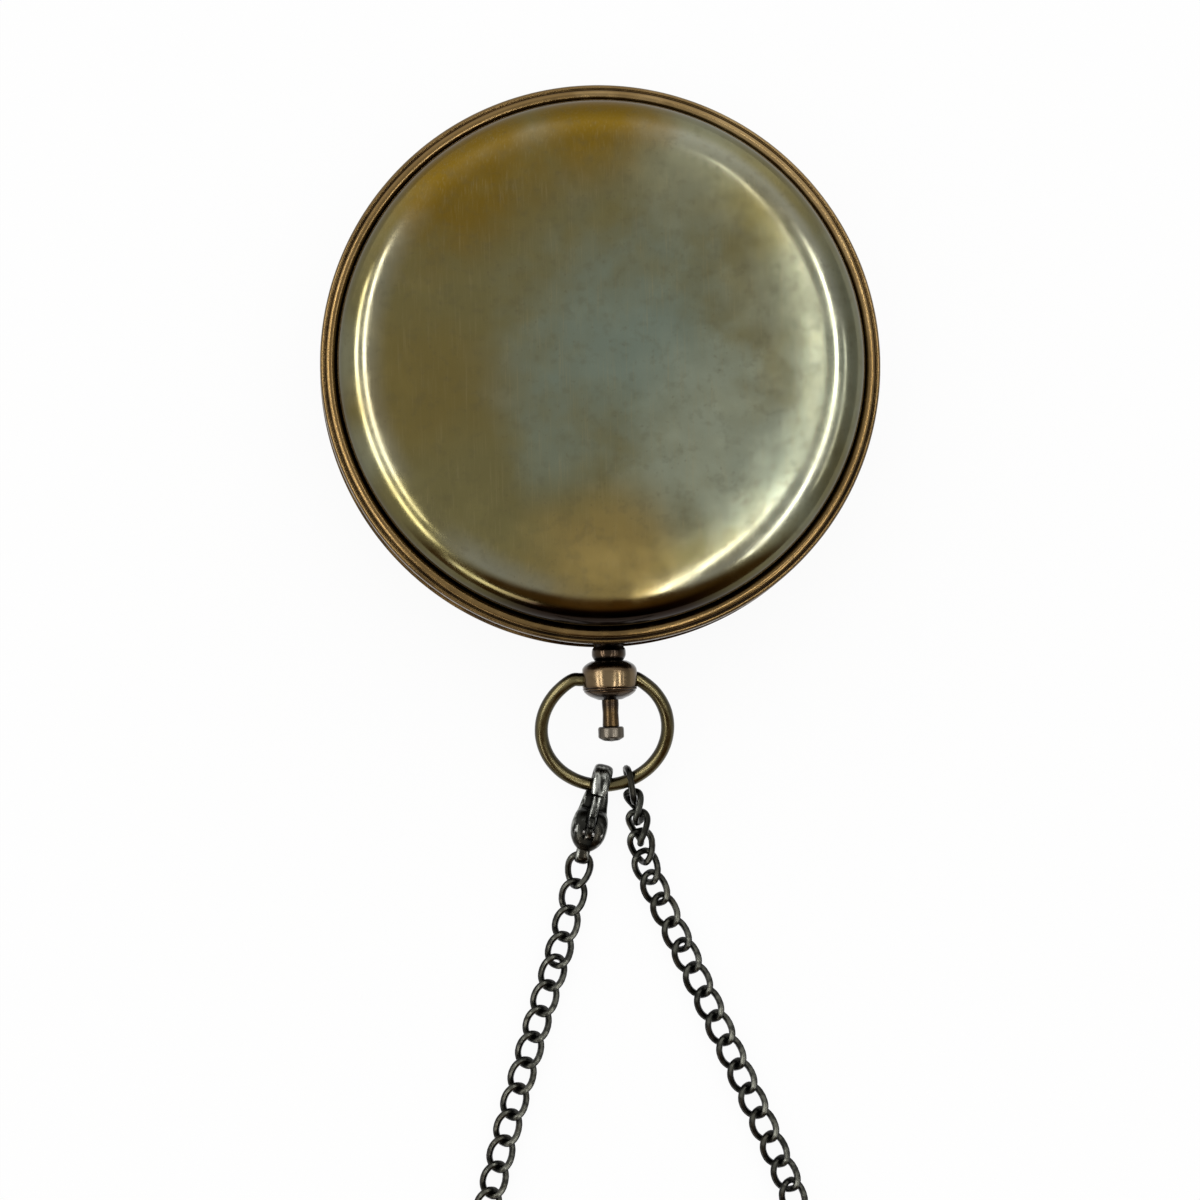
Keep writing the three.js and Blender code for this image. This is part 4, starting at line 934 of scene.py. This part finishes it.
wear = np.where((hook[:, 1:2] > HOOK_TOP) & (through < 0), 0.74, wear)
wear = np.where(in_slot, 0.0, wear)
v = np.maximum(np.where(in_slot, np.minimum(v, SLOT_FLOOR), v), TABLE_GAP)
eye = 2 * np.pi * np.linspace(0, 1, 25)
eye_path = EYE_RADIUS * np.column_stack([np.cos(eye), np.sin(eye), 0 * eye]) + [CLASP_EYE, EYE_HEIGHT, 0]
eye_skin = wire(eye_path, EYE_WIRE / 2, UP, 12, ring=True) * [1, 1, EYE_BROAD, 1]
clasp_grids = [clasped(u, v, w, wear), clasped(*np.moveaxis(eye_skin, -1, 0))]
clasp_hook = piece("clasp_hook", clasp_grids, clasp_metal, "chain_head", "clasp_body", slot="gunmetal")

# %% Forge the clasp's lever
# Along the lever: u, its underside and its top
lever = np.array([
    [2.95, 2.58, 3.2], [4.2, 2.52, 3.34], [5.0, 2.5, 3.36], [5.2, 2.35, 4.0], [5.65, 1.95, 4.18],
    [6.05, 1.78, 4.05], [6.3, 1.76, 3.2], [7.0, 1.78, 3.08], [7.45, 2.15, 2.65],
])
lever = np.concatenate([lever[:1], lever, lever[-1:]])
middle, half_high = (lever[:, 2:] + lever[:, 1:2]) / 2, (lever[:, 2:] - lever[:, 1:2]) / 2
half_high[[0, -1]] = 0
LEVER_HALF = 0.4
p = np.linspace(0, 2 * np.pi, 25)
lever_w = np.where(half_high > 0, LEVER_HALF, 0) * squared(np.cos(p), 0.5)
lever_v = middle + half_high * squared(np.sin(p), 0.5)
lever_wear = np.interp(lever[:, :1], [4.2, 5.0, 6.3, 6.6], [0.72, 0.4, 0.4, 0.65])
lever_wear = np.maximum(lever_wear, 0.4 + 0.4 * np.abs(np.cos(p)))
lever_grid = clasped(lever[:, :1] + 0 * p, lever_v, lever_w, lever_wear)
clasp_thumb = piece("clasp_thumb", [lever_grid], clasp_metal, "clasp_gate", "clasp_lever", slot="gunmetal")

# %% [markdown]
# ## The chain
# A curb chain's link is an oval of wire whose two ends are twisted opposite ways, so each
# link lies flat on the next. One link is worked out on its own, then placed at every step
# along a route as one big array. The first links of each run roll from standing to lying, and
# those next to the bow are pushed together, seven in the length of six.
# The routes are those of the CAD frame: two runs leave the bow and the clasp, and the length
# that the picture doesn't show lies folded to and fro just below it.

# %% Work out one link and how to hang it
LINK_PITCH = 2.69
LINK_WIDTH = 2.95
LINK_WIRE = 0.68
LINK_BITE = 0.08
LINK_PLAY = 0.2
LINK_TWIST = math.radians(47)
LINK_SQUARE = 0.7


def link(length, twist, steps=36, sides=9):
    """A squarish oval of wire: x and the width follow cos a and sin a to the power 0.7, and the
    width is turned about x by a twist that grows evenly from one end to the other."""
    a = 2 * np.pi * np.linspace(0, 1, steps + 1)
    x = squared(np.cos(a), LINK_SQUARE)
    width = (LINK_WIDTH - LINK_WIRE) / 2 * squared(np.sin(a), LINK_SQUARE)
    path = np.column_stack([length / 2 * x, width * np.cos(twist * x), width * np.sin(twist * x)])
    return wire(path, LINK_WIRE / 2, UP, sides, ring=True)


def hung(one, place, along, roll):
    """Copies of a link at places, along directions and rolled about them, as one array. A link that
    would dip into the table is lifted onto it."""
    side = unit(np.cross(UP, along))
    over = np.cross(along, side)
    roll = np.asarray(roll)[:, None]
    axes = [along, np.cos(roll) * side + np.sin(roll) * over, np.cos(roll) * over - np.sin(roll) * side]
    facing = sum(one[..., k, None] * axis[:, None, None] for k, axis in enumerate(axes))
    skin = place[:, None, None] + facing
    lowest = skin[..., 2].min((1, 2), keepdims=True)
    skin[..., 2] += np.maximum(TABLE_GAP - lowest, 0)
    wear = np.broadcast_to(one[..., 3:], (*skin.shape[:3], 1))
    return np.concatenate([skin, wear], -1)


def run(route, start, pitches, roll=0.0):
    """A run of links along a route: each link stands in the middle of its own pitch, drawn in a
    little at the run's ends, and is rolled about the route by its own `roll`."""
    pitches = np.asarray(pitches)
    slack = (LINK_BITE + LINK_PLAY) / 2
    s = start + np.cumsum(pitches) - pitches / 2 - slack * np.linspace(1, -1, len(pitches))
    place, along = at(route, s)
    one = link(LINK_PITCH + LINK_WIRE - LINK_BITE, LINK_TWIST)
    return hung(one, place, along, roll + np.zeros(len(pitches)))


# %% Lay the two runs
CHAIN_LIE = 0.8
NEAR_LEFT, NEAR_RIGHT, MIDDLE_LINKS, LOOP_LINKS = 4, 6, 10, 57
END_LINK, END_TWIST, END_X = 3.5, math.radians(6), 2.05
EYE_SEAT = 0.48
left_start = clasp_start + (CLASP_EYE + EYE_SEAT) * clasp_along
left = routed(left_start * [1, 1, 0] + np.array([
    [0, 0, EYE_HEIGHT], [-0.35, -1.24, 1.27], [-0.95, -3.74, 1.13], [-1.65, -6.34, 0.96],
    [-2.4, -8.94, CHAIN_LIE], [-4.89, -16.38, CHAIN_LIE], [-7.9, -25.74, CHAIN_LIE],
    [-10.8, -35.64, CHAIN_LIE], [-13.9, -45.54, CHAIN_LIE],
]), 60)
end_wire = on_bow(END_X)
end_along = unit(np.array([0.2, -0.96, -0.15]))
end_gap = BOW_WIRE / 2 + LINK_WIRE / 2 + LINK_PLAY
end_place = end_wire + (END_LINK / 2 - end_gap) * end_along
right_start = end_wire + (END_LINK - end_gap - (LINK_WIRE + LINK_PLAY) / 2) * end_along
right = routed(right_start * [1, 1, 0] + np.array([
    [0, 0, right_start[2]], [0.32, -1.58, 1.27], [0.62, -4.38, 1.1], [1.17, -7.28, 0.9],
    [2.27, -10.18, CHAIN_LIE], [4.31, -14.88, CHAIN_LIE], [8.5, -24.68, CHAIN_LIE],
    [12.79, -34.98, CHAIN_LIE], [15.77, -42.38, CHAIN_LIE], [19.57, -51.88, CHAIN_LIE],
]), 60)
end_grid = hung(link(END_LINK, END_TWIST), end_place[None], end_along[None], [np.pi / 2])
end_link = piece("bow_link", [end_grid], chain_metal, "chain_head", "chain_end_link", slot="gunmetal")
left_fold, right_fold = NEAR_LEFT * LINK_PITCH, NEAR_RIGHT * LINK_PITCH
even = lambda count: np.full(count, LINK_PITCH)
bunched = LINK_PITCH * np.array([0.85, 0.75, 0.7, 0.85, 0.85, 1.0, 1.0])
settle_left = np.radians([20, 10, 0, 0])
settle_right = np.radians([80, 55, 25, 10, 0, 0, 0])
for name, body, route, start, pitches, roll in (
    ("left_near", "chain_head", left, 0.0, even(NEAR_LEFT), settle_left),
    ("right_near", "chain_head", right, 0.0, bunched, settle_right),
    ("left_middle", "chain_middle", left, left_fold, even(MIDDLE_LINKS), 0.0),
    ("right_middle", "chain_middle", right, right_fold, even(MIDDLE_LINKS), 0.0),
):
    grid = run(route, start, pitches, roll)
    piece(f"links_{name}", [grid], chain_metal, body, f"chain_{name}", slot="gunmetal")

# %% Fold the rest away below the picture
LOOP_COLUMN = 15.0
LOOP_DROP = 13.9
LOOP_HEIGHT = 14.5
loop_foot = -LOOP_DROP - LOOP_HEIGHT
middle_length = MIDDLE_LINKS * LINK_PITCH
far_left = at(left, np.array([left_fold + middle_length]))[0][0]
far_right = at(right, np.array([right_fold + middle_length]))[0][0]
fold_middle = (far_left + far_right) / 2 * [1, 1, 0]
turn = np.pi * np.arange(5) / 4
loop_way = [far_left - fold_middle]
for column, row, sign in ((-1, loop_foot, -1), (0, -LOOP_DROP, 1), (1, loop_foot, -1)):
    x = LOOP_COLUMN * (column - 0.5 * np.cos(turn))
    y = row + 0.5 * sign * LOOP_COLUMN * np.sin(turn)
    loop_way += np.column_stack([x, y, 0 * turn + CHAIN_LIE]).tolist()
loop = fold_middle + routed(loop_way + [far_right - fold_middle], 40)
loop_length = lengths(loop)[-1]
loop_grid = run(loop, 0.0, np.full(LOOP_LINKS, loop_length / LOOP_LINKS))
loop_piece = piece("links_loop", [loop_grid], chain_metal, "chain_tail", "chain_loop", slot="gunmetal")
print("loop length in mm:", round(loop_length, 1))

# %% [markdown]
# ## The dial's marks
# Under the lid lies the hour ring. A flat sundial's hour lines aren't evenly spaced: the line
# for n hours from noon makes the angle whose tangent is sin(latitude) tan(15 n degrees), so
# the formula is used as it is. The numerals are Roman, made of straight strokes, thick and
# thin, with serifs. Every stroke is a slip of black wax a hair thicker than the engraving,
# worked out as one array of small prisms.

# %% Mix the ink and the dial's finishes
wax = Finish("black_wax", 0.0, 0.5)
wax.set(Base_Color=wax.cloudy((0.012, 0.011, 0.01), (0.035, 0.03, 0.026), 0.5, 0.4, 0.7))
wax.bump(wax.noise(0.2), 0.004)

silvered = Finish("silvered_brass", 0.85, 0.42)
stained = silvered.cloudy((0.6, 0.575, 0.5), (0.42, 0.36, 0.24), 6, 0.45, 0.75, detail=5)
silvered.set(Base_Color=stained)
silvered.set(Roughness=silvered.ramp(silvered.noise(0.5, detail=4), 0.3, 0.7, 0.34, 0.5))
silvered.bump(silvered.noise(0.15, detail=2), 0.003)


def slips(outlines, low, high, wear=0.5):
    """Flat outlines of (x, y) points, each drawn up from low to high and closed at both ends."""
    middle = np.broadcast_to(outlines[:, :-1].mean(1, keepdims=True), outlines.shape)
    rows = np.stack([middle, outlines, outlines, middle], 1)
    height = np.broadcast_to(np.array([low, low, high, high])[None, :, None, None], (*rows.shape[:3], 1))
    return np.concatenate([rows, height, np.full_like(height, wear)], -1)


def strokes(lines):
    """Outlines of straight strokes, each given as x, y of its start and end and its width."""
    lines = np.asarray(lines, float)
    a, b = lines[:, 0:2], lines[:, 2:4]
    along = unit(b - a)
    side = np.column_stack([-along[:, 1], along[:, 0]]) * lines[:, 4:] / 2
    return np.stack([a - side, a + side, b + side, b - side, a - side], 1)


# %% Engrave the hour ring
LATITUDE = math.radians(42)
RING_BORE = 15.6
NUMERAL_HEIGHT = 2.1
NUMERAL_FOOT = 20.1
LINE_END = 19.4
POST_CLEAR = 1.4
WAX_PROUD = 0.03
ring_top = ring_high[2]
gnomon_joint = next(j for j in frame["joints"] if j["name"] == "gnomon_raise")
gnomon_z = gnomon_joint["pos_m"][2] / MM
dial_centre = np.array([0.0, -(gnomon_z - ring_top) / math.tan(LATITUDE)])
GLYPHS = {
    "I": (0.62, [[0.31, 0, 0.31, 1, 0.3]]),
    "V": (1.4, [[0.22, 1, 0.7, 0, 0.32], [1.18, 1, 0.7, 0, 0.13]]),
    "X": (1.4, [[0.22, 1, 1.18, 0, 0.32], [1.18, 1, 0.22, 0, 0.13]]),
}
NUMERALS = ["I", "II", "III", "IV", "V", "VI", "VII", "VIII", "IX", "X", "XI", "XII"]


def hour_direction(hours):
    """Unit vectors of the hour lines, noon towards +Y: tan(angle) = sin(latitude) tan(15 degrees n)."""
    h = np.radians(15.0 * np.asarray(hours, float))
    angle = np.arctan2(math.sin(LATITUDE) * np.sin(h), np.cos(h))
    return np.column_stack([np.sin(angle), np.cos(angle)])


def on_circle(hours, radius):
    """Where the hour lines cross a circle round the case's middle."""
    d = hour_direction(hours)
    b = d @ dial_centre
    reach = -b + np.sqrt(b**2 + radius**2 - dial_centre @ dial_centre)
    return dial_centre + reach[:, None] * d


def numeral(text):
    """The strokes of a Roman numeral about x = 0 with its foot at y = 0, each letter with serifs."""
    made, x = [], 0.0
    for letter in text:
        width, lines = GLYPHS[letter]
        made += [[x + a, b * NUMERAL_HEIGHT, x + c, d * NUMERAL_HEIGHT, w] for a, b, c, d, w in lines]
        for y in (0, NUMERAL_HEIGHT):
            narrow = 0.32 if letter == "V" and y == 0 else 0.06
            made.append([x + narrow, y, x + width - narrow, y, 0.12])
        x += width
    made = np.array(made)
    made[:, [0, 2]] -= x / 2
    return made


def set_out(outlines, place):
    """Outlines stood at a place of the plan with their tops pointing away from the middle."""
    outward = unit(place)
    right = np.array([outward[1], -outward[0]])
    return place + outlines[..., :1] * right + outlines[..., 1:] * outward


hours = np.arange(-8, 9)
quarters = np.arange(-32, 33) / 4
marks = []
for h, place in zip(hours, on_circle(hours, NUMERAL_FOOT)):
    marks.append(set_out(strokes(numeral(NUMERALS[(h + 11) % 12])), place))
for which, inner, width in (
    (hours, RING_BORE + 0.5, 0.24),
    (quarters[quarters * 2 % 2 == 1], 17.6, 0.18),
    (quarters[quarters * 2 % 1 == 0.5], 18.5, 0.12),
):
    ends = np.column_stack([on_circle(which, inner), on_circle(which, LINE_END)])
    clear = np.abs(ends[:, 0]) > POST_CLEAR
    marks.append(strokes(np.column_stack([ends, np.full(len(ends), width)])[clear]))


def circle_line(radius, width, low):
    """A thin engraved circle."""
    rows = [[0, 0, 0.5], [width, 0, 0.5], [width, WAX_PROUD, 0.5], [0, WAX_PROUD, 0.5]]
    return turned(closed(offset(radius, low, rows)))


dial_slips = slips(np.concatenate(marks), ring_top, ring_top + WAX_PROUD)
dial_circles = [circle_line(r, 0.14, ring_top) for r in (RING_BORE + 0.35, 19.45, 19.75)]
piece("hour_marks", [dial_slips, *dial_circles], wax, "case")

# %% [markdown]
# ## The gnomon
# The blade that throws the shadow is a thin brass plate with a window. Its outline and its
# window have the same number of points, so the plate is a band that runs from one loop to
# the other, over the top, through the window and back, with eased edges. It lies folded on
# the dial here, and rises when the lid opens.

# %% Cut the gnomon
STYLE_RUN = 13.4
STYLE_FOOT = 15.4
TAIL_DIP = 1.6
BLADE = 0.8
EDGE = 0.12
AXLE_SHOULDER = 15.9
s = np.linspace(0, 1, 21)[:, None]
rise = STYLE_RUN * math.tan(LATITUDE)
style = s * [rise, STYLE_RUN]
tail_y = STYLE_RUN + (STYLE_FOOT - STYLE_RUN) * s - TAIL_DIP * np.sin(np.pi * s)
tail = np.concatenate([rise * (1 - s), tail_y], 1)
base = np.array([0.0, STYLE_FOOT]) + s * [0.0, -STYLE_FOOT]
rim_loop = np.concatenate([style, tail, base])
window = rim_loop * [0.5, 0.55] + [1.5, 4.0]
inwards = unit(window - rim_loop) * EDGE
face, bevel = BLADE / 2, BLADE / 2 - EDGE
# Round the plate: the loop, its height from the middle, and its wear
loops = [
    (rim_loop, -bevel, 0.6), (rim_loop, bevel, 0.6), (rim_loop + inwards, face, 1.0),
    (window - inwards, face, 1.0), (window, bevel, 0.3), (window, -bevel, 0.3),
    (window - inwards, -face, 0.7), (rim_loop + inwards, -face, 0.7), (rim_loop, -bevel, 0.6),
]
level = np.ones((len(rim_loop), 1))
blade = np.stack([np.hstack([xy, level * (gnomon_z + z), level * wear]) for xy, z, wear in loops])
gnomon_low, _ = span("gnomon")
reach, shoulder = gnomon_low[1], -AXLE_SHOULDER
axle = [[0, reach, 0.4], [0.42, reach, 0.6], [0.42, shoulder, 0.5], [0.55, shoulder, 0.6]]
axle = np.array(axle + [[r, -h, wear] for r, h, wear in axle[::-1]])
axle_grid = turned(eased(axle, 0.06), 32)[..., [0, 2, 1, 3]] + [0, 0, gnomon_z, 0]
piece("gnomon_blade", [blade, axle_grid], case_brass, "gnomon", "gnomon", slot="warm_brass")

# %% [markdown]
# ## The compass
# Below the glass a paper card carries a rose of eight points, a ring of degrees and the four
# letters. Each point of the rose is two slips, one inked and one left pale. Over it swings a
# lozenge of steel with a raised spine, blued on its north half, on a turned brass cap.

# %% Print the card
paper = Finish("card_paper", 0.0, 0.8)
fibre = paper.noise(0.6, stretch=(1, 3, 1), detail=4)
aged = paper.cloudy((0.78, 0.71, 0.55), (0.6, 0.5, 0.34), 9, 0.4, 0.75, detail=4)
paper.set(Base_Color=paper.mix(paper.ramp(fibre, 0.55, 0.8, 0.0, 0.3), aged, (0.52, 0.43, 0.3)))
paper.bump(fibre, 0.01)
rust_ink = Finish("rust_ink", 0.0, 0.6)
rust_ink.set(Base_Color=rust_ink.cloudy((0.3, 0.05, 0.03), (0.42, 0.1, 0.05), 0.8, 0.4, 0.7))

_, card_high = span("compass_card")
card_top = card_high[2]
INK_PROUD = 0.02
LETTER_HEIGHT, LETTER_FOOT = 1.7, 10.3
TICK_END = 14.6


def rose_points(angles, tip, waist, hand):
    """One half of each rose point: a triangle from the middle to the tip and the waist on a hand."""
    a = np.asarray(angles, float)
    turn = np.pi / 8 * hand
    ray = lambda angle, r: r * np.column_stack([np.sin(angle), np.cos(angle)])
    start = 0 * ray(a, 1.0)
    return np.stack([start, ray(a, tip), ray(a + turn, waist), start], 1)


def letter(name):
    """The strokes of one of the four cardinal letters about x = 0, 1 high."""
    bend = np.linspace(-0.3, 1.25, 9) * np.pi
    s_top = np.column_stack([0.26 * np.cos(bend), 0.74 + 0.24 * np.sin(bend)])
    s_path = np.concatenate([s_top, ([0, 1.0] - s_top)[::-1]])
    drawn = {
        "N": [[-0.32, 0, -0.32, 1], [-0.32, 1, 0.32, 0], [0.32, 0, 0.32, 1]],
        "E": [[-0.25, 0, -0.25, 1], [-0.25, 1, 0.27, 1], [-0.25, 0.5, 0.17, 0.5], [-0.25, 0, 0.27, 0]],
        "S": np.column_stack([s_path[:-1], s_path[1:]]).tolist(),
        "W": [[-0.5, 1, -0.26, 0], [-0.26, 0, 0, 0.8], [0, 0.8, 0.26, 0], [0.26, 0, 0.5, 1]],
    }
    lines = np.array(drawn[name]) * LETTER_HEIGHT
    return np.column_stack([lines, np.full(len(lines), 0.26)])


def rose_half(hand):
    """The eight half points on one hand as slips: the four short ones, then the four long ones."""
    cardinals = np.pi / 2 * np.arange(4)
    short = rose_points(cardinals + np.pi / 4, 7.0, 2.2, hand)
    points = np.concatenate([short, rose_points(cardinals, 9.6, 2.6, hand)])
    return slips(points, card_top, card_top + INK_PROUD)


degrees = np.radians(np.arange(0, 360, 5))
tick_in = np.where(np.arange(72) % 6 == 0, 12.9, np.where(np.arange(72) % 2 == 0, 13.5, 13.9))
rays = np.column_stack([np.sin(degrees), np.cos(degrees)])
ticks = strokes(np.column_stack([rays * tick_in[:, None], rays * TICK_END, np.full(72, 0.14)]))
letters = [set_out(strokes(letter(n)), LETTER_FOOT * rays[18 * k]) for k, n in enumerate("NESW")]
inked = slips(np.concatenate([ticks, *letters]), card_top, card_top + INK_PROUD)
card_circles = [circle_line(r, 0.12, card_top - 0.01) for r in (12.5, 14.7, 15.0)]
piece("card_print", [inked, rose_half(1), *card_circles], wax, "case")
piece("card_rose", [rose_half(-1)], rust_ink, "case")

# %% Grind the needle
blued = Finish("blued_steel", 1.0, 0.24)
north = blued.node("SeparateXYZ", blued.place, output=1)
temper = blued.cloudy((0.02, 0.04, 0.16), (0.05, 0.07, 0.24), 2.5, 0.3, 0.7)
blued.set(Base_Color=blued.mix(blued.ramp(north, -0.0002, 0.0002), (0.5, 0.5, 0.48), temper))
blued.bump(blued.noise(0.1, stretch=(1, 20, 1)), 0.002)
needle_low, needle_high = span("compass_needle")
needle_half = needle_high[0]
needle_reach = needle_high[1]
y = needle_reach * np.sin(np.linspace(-np.pi / 2, np.pi / 2, 41))
half = needle_half * (1 - np.abs(y) / needle_reach)
edge = np.array([-1, 0, 1, 0.0, -1])
lift = np.array([0.3, 1.0, 0.3, 0.0, 0.3])
needle_x = half[:, None] * edge
needle_z = needle_low[2] + (needle_high[2] - needle_low[2] + 0.06) * lift + 0 * needle_x
needle_grid = np.stack([needle_x, y[:, None] + 0 * needle_x, needle_z, 0 * needle_x + 0.8], -1)
needle_grid[[0, -1]] = needle_grid[[0, -1]].mean(1, keepdims=True)
piece("needle_lozenge", [needle_grid], blued, "needle", "compass_needle", slot="blued_steel", crease=10)
cap_low, cap_high = span("needle_cap")
cap = [
    *offset(0, cap_low[2], [[0, 0.3, 0], [0.5, 0, 0.2], [1.5, 0, 0.6]]),
    *offset(0, needle_low[2], [[1.5, -0.02, 0.9], [1.05, 0, 0.2]]),
    *offset(0, cap_high[2], [[1.05, -0.55, 0.6], [0.55, -0.1, 1.0], [0, 0, 1.0]]),
]
piece("needle_boss", [turned(eased(cap), 40)], case_brass, "needle", "needle_cap", slot="warm_brass")

# %% [markdown]
# ## Finishes for the pieces that stay as they are
# Screws, springs, knuckles and posts already have their true shape in the CAD frame, so they
# keep it and only get a finish. They carry no wear value, so their tone drifts with noise
# alone. The glass is clear with the faint green of plate glass.

# %% Finish the small pieces
steel = Finish("spring_steel", 1.0, 0.3)
steel.set(Base_Color=steel.cloudy((0.34, 0.34, 0.33), (0.2, 0.19, 0.17), 1.5, 0.35, 0.7, detail=4))
steel.bump(steel.noise(0.1, stretch=(1, 12, 1)), 0.003)
glass = Finish("plate_glass", 0.0, 0.02, Base_Color=(0.95, 0.98, 0.96), IOR=1.5, Transmission_Weight=1.0)
glass.bump(glass.noise(8, detail=1), 0.0006)
fitting = Finish("fitting_brass", 1.0, 0.3, Coat_Weight=0.1)
fitting.set(Base_Color=fitting.cloudy((0.2, 0.13, 0.05), (0.11, 0.07, 0.025), 1.6, 0.3, 0.7, detail=4))
fitting.bump(fitting.noise(0.2, detail=3), 0.003)
for finish, names in (
    (silvered, ["hour_ring"]),
    (paper, ["compass_card"]),
    (glass, ["compass_glass"]),
    (fitting, ["case_knuckle_left", "case_knuckle_right", "lid_knuckle", "compass_bowl"]),
    (fitting, ["gnomon_post_north", "gnomon_post_south", *(f"ring_screw_{i}" for i in range(1, 5))]),
    (steel, ["hinge_pin", "pivot_pin", "lift_spring", "lift_spring_screw", "catch_lever", "catch_pivot"]),
    (steel, ["catch_spring", "clasp_pin"]),
):
    for name in names:
        mesh = frame["nodes"][name].data
        mesh.materials.clear()
        mesh.materials.append(finish.material)
print("CAD pieces that show:", sum(not o.hide_render for o in frame["nodes"].values()))

# %% [markdown]
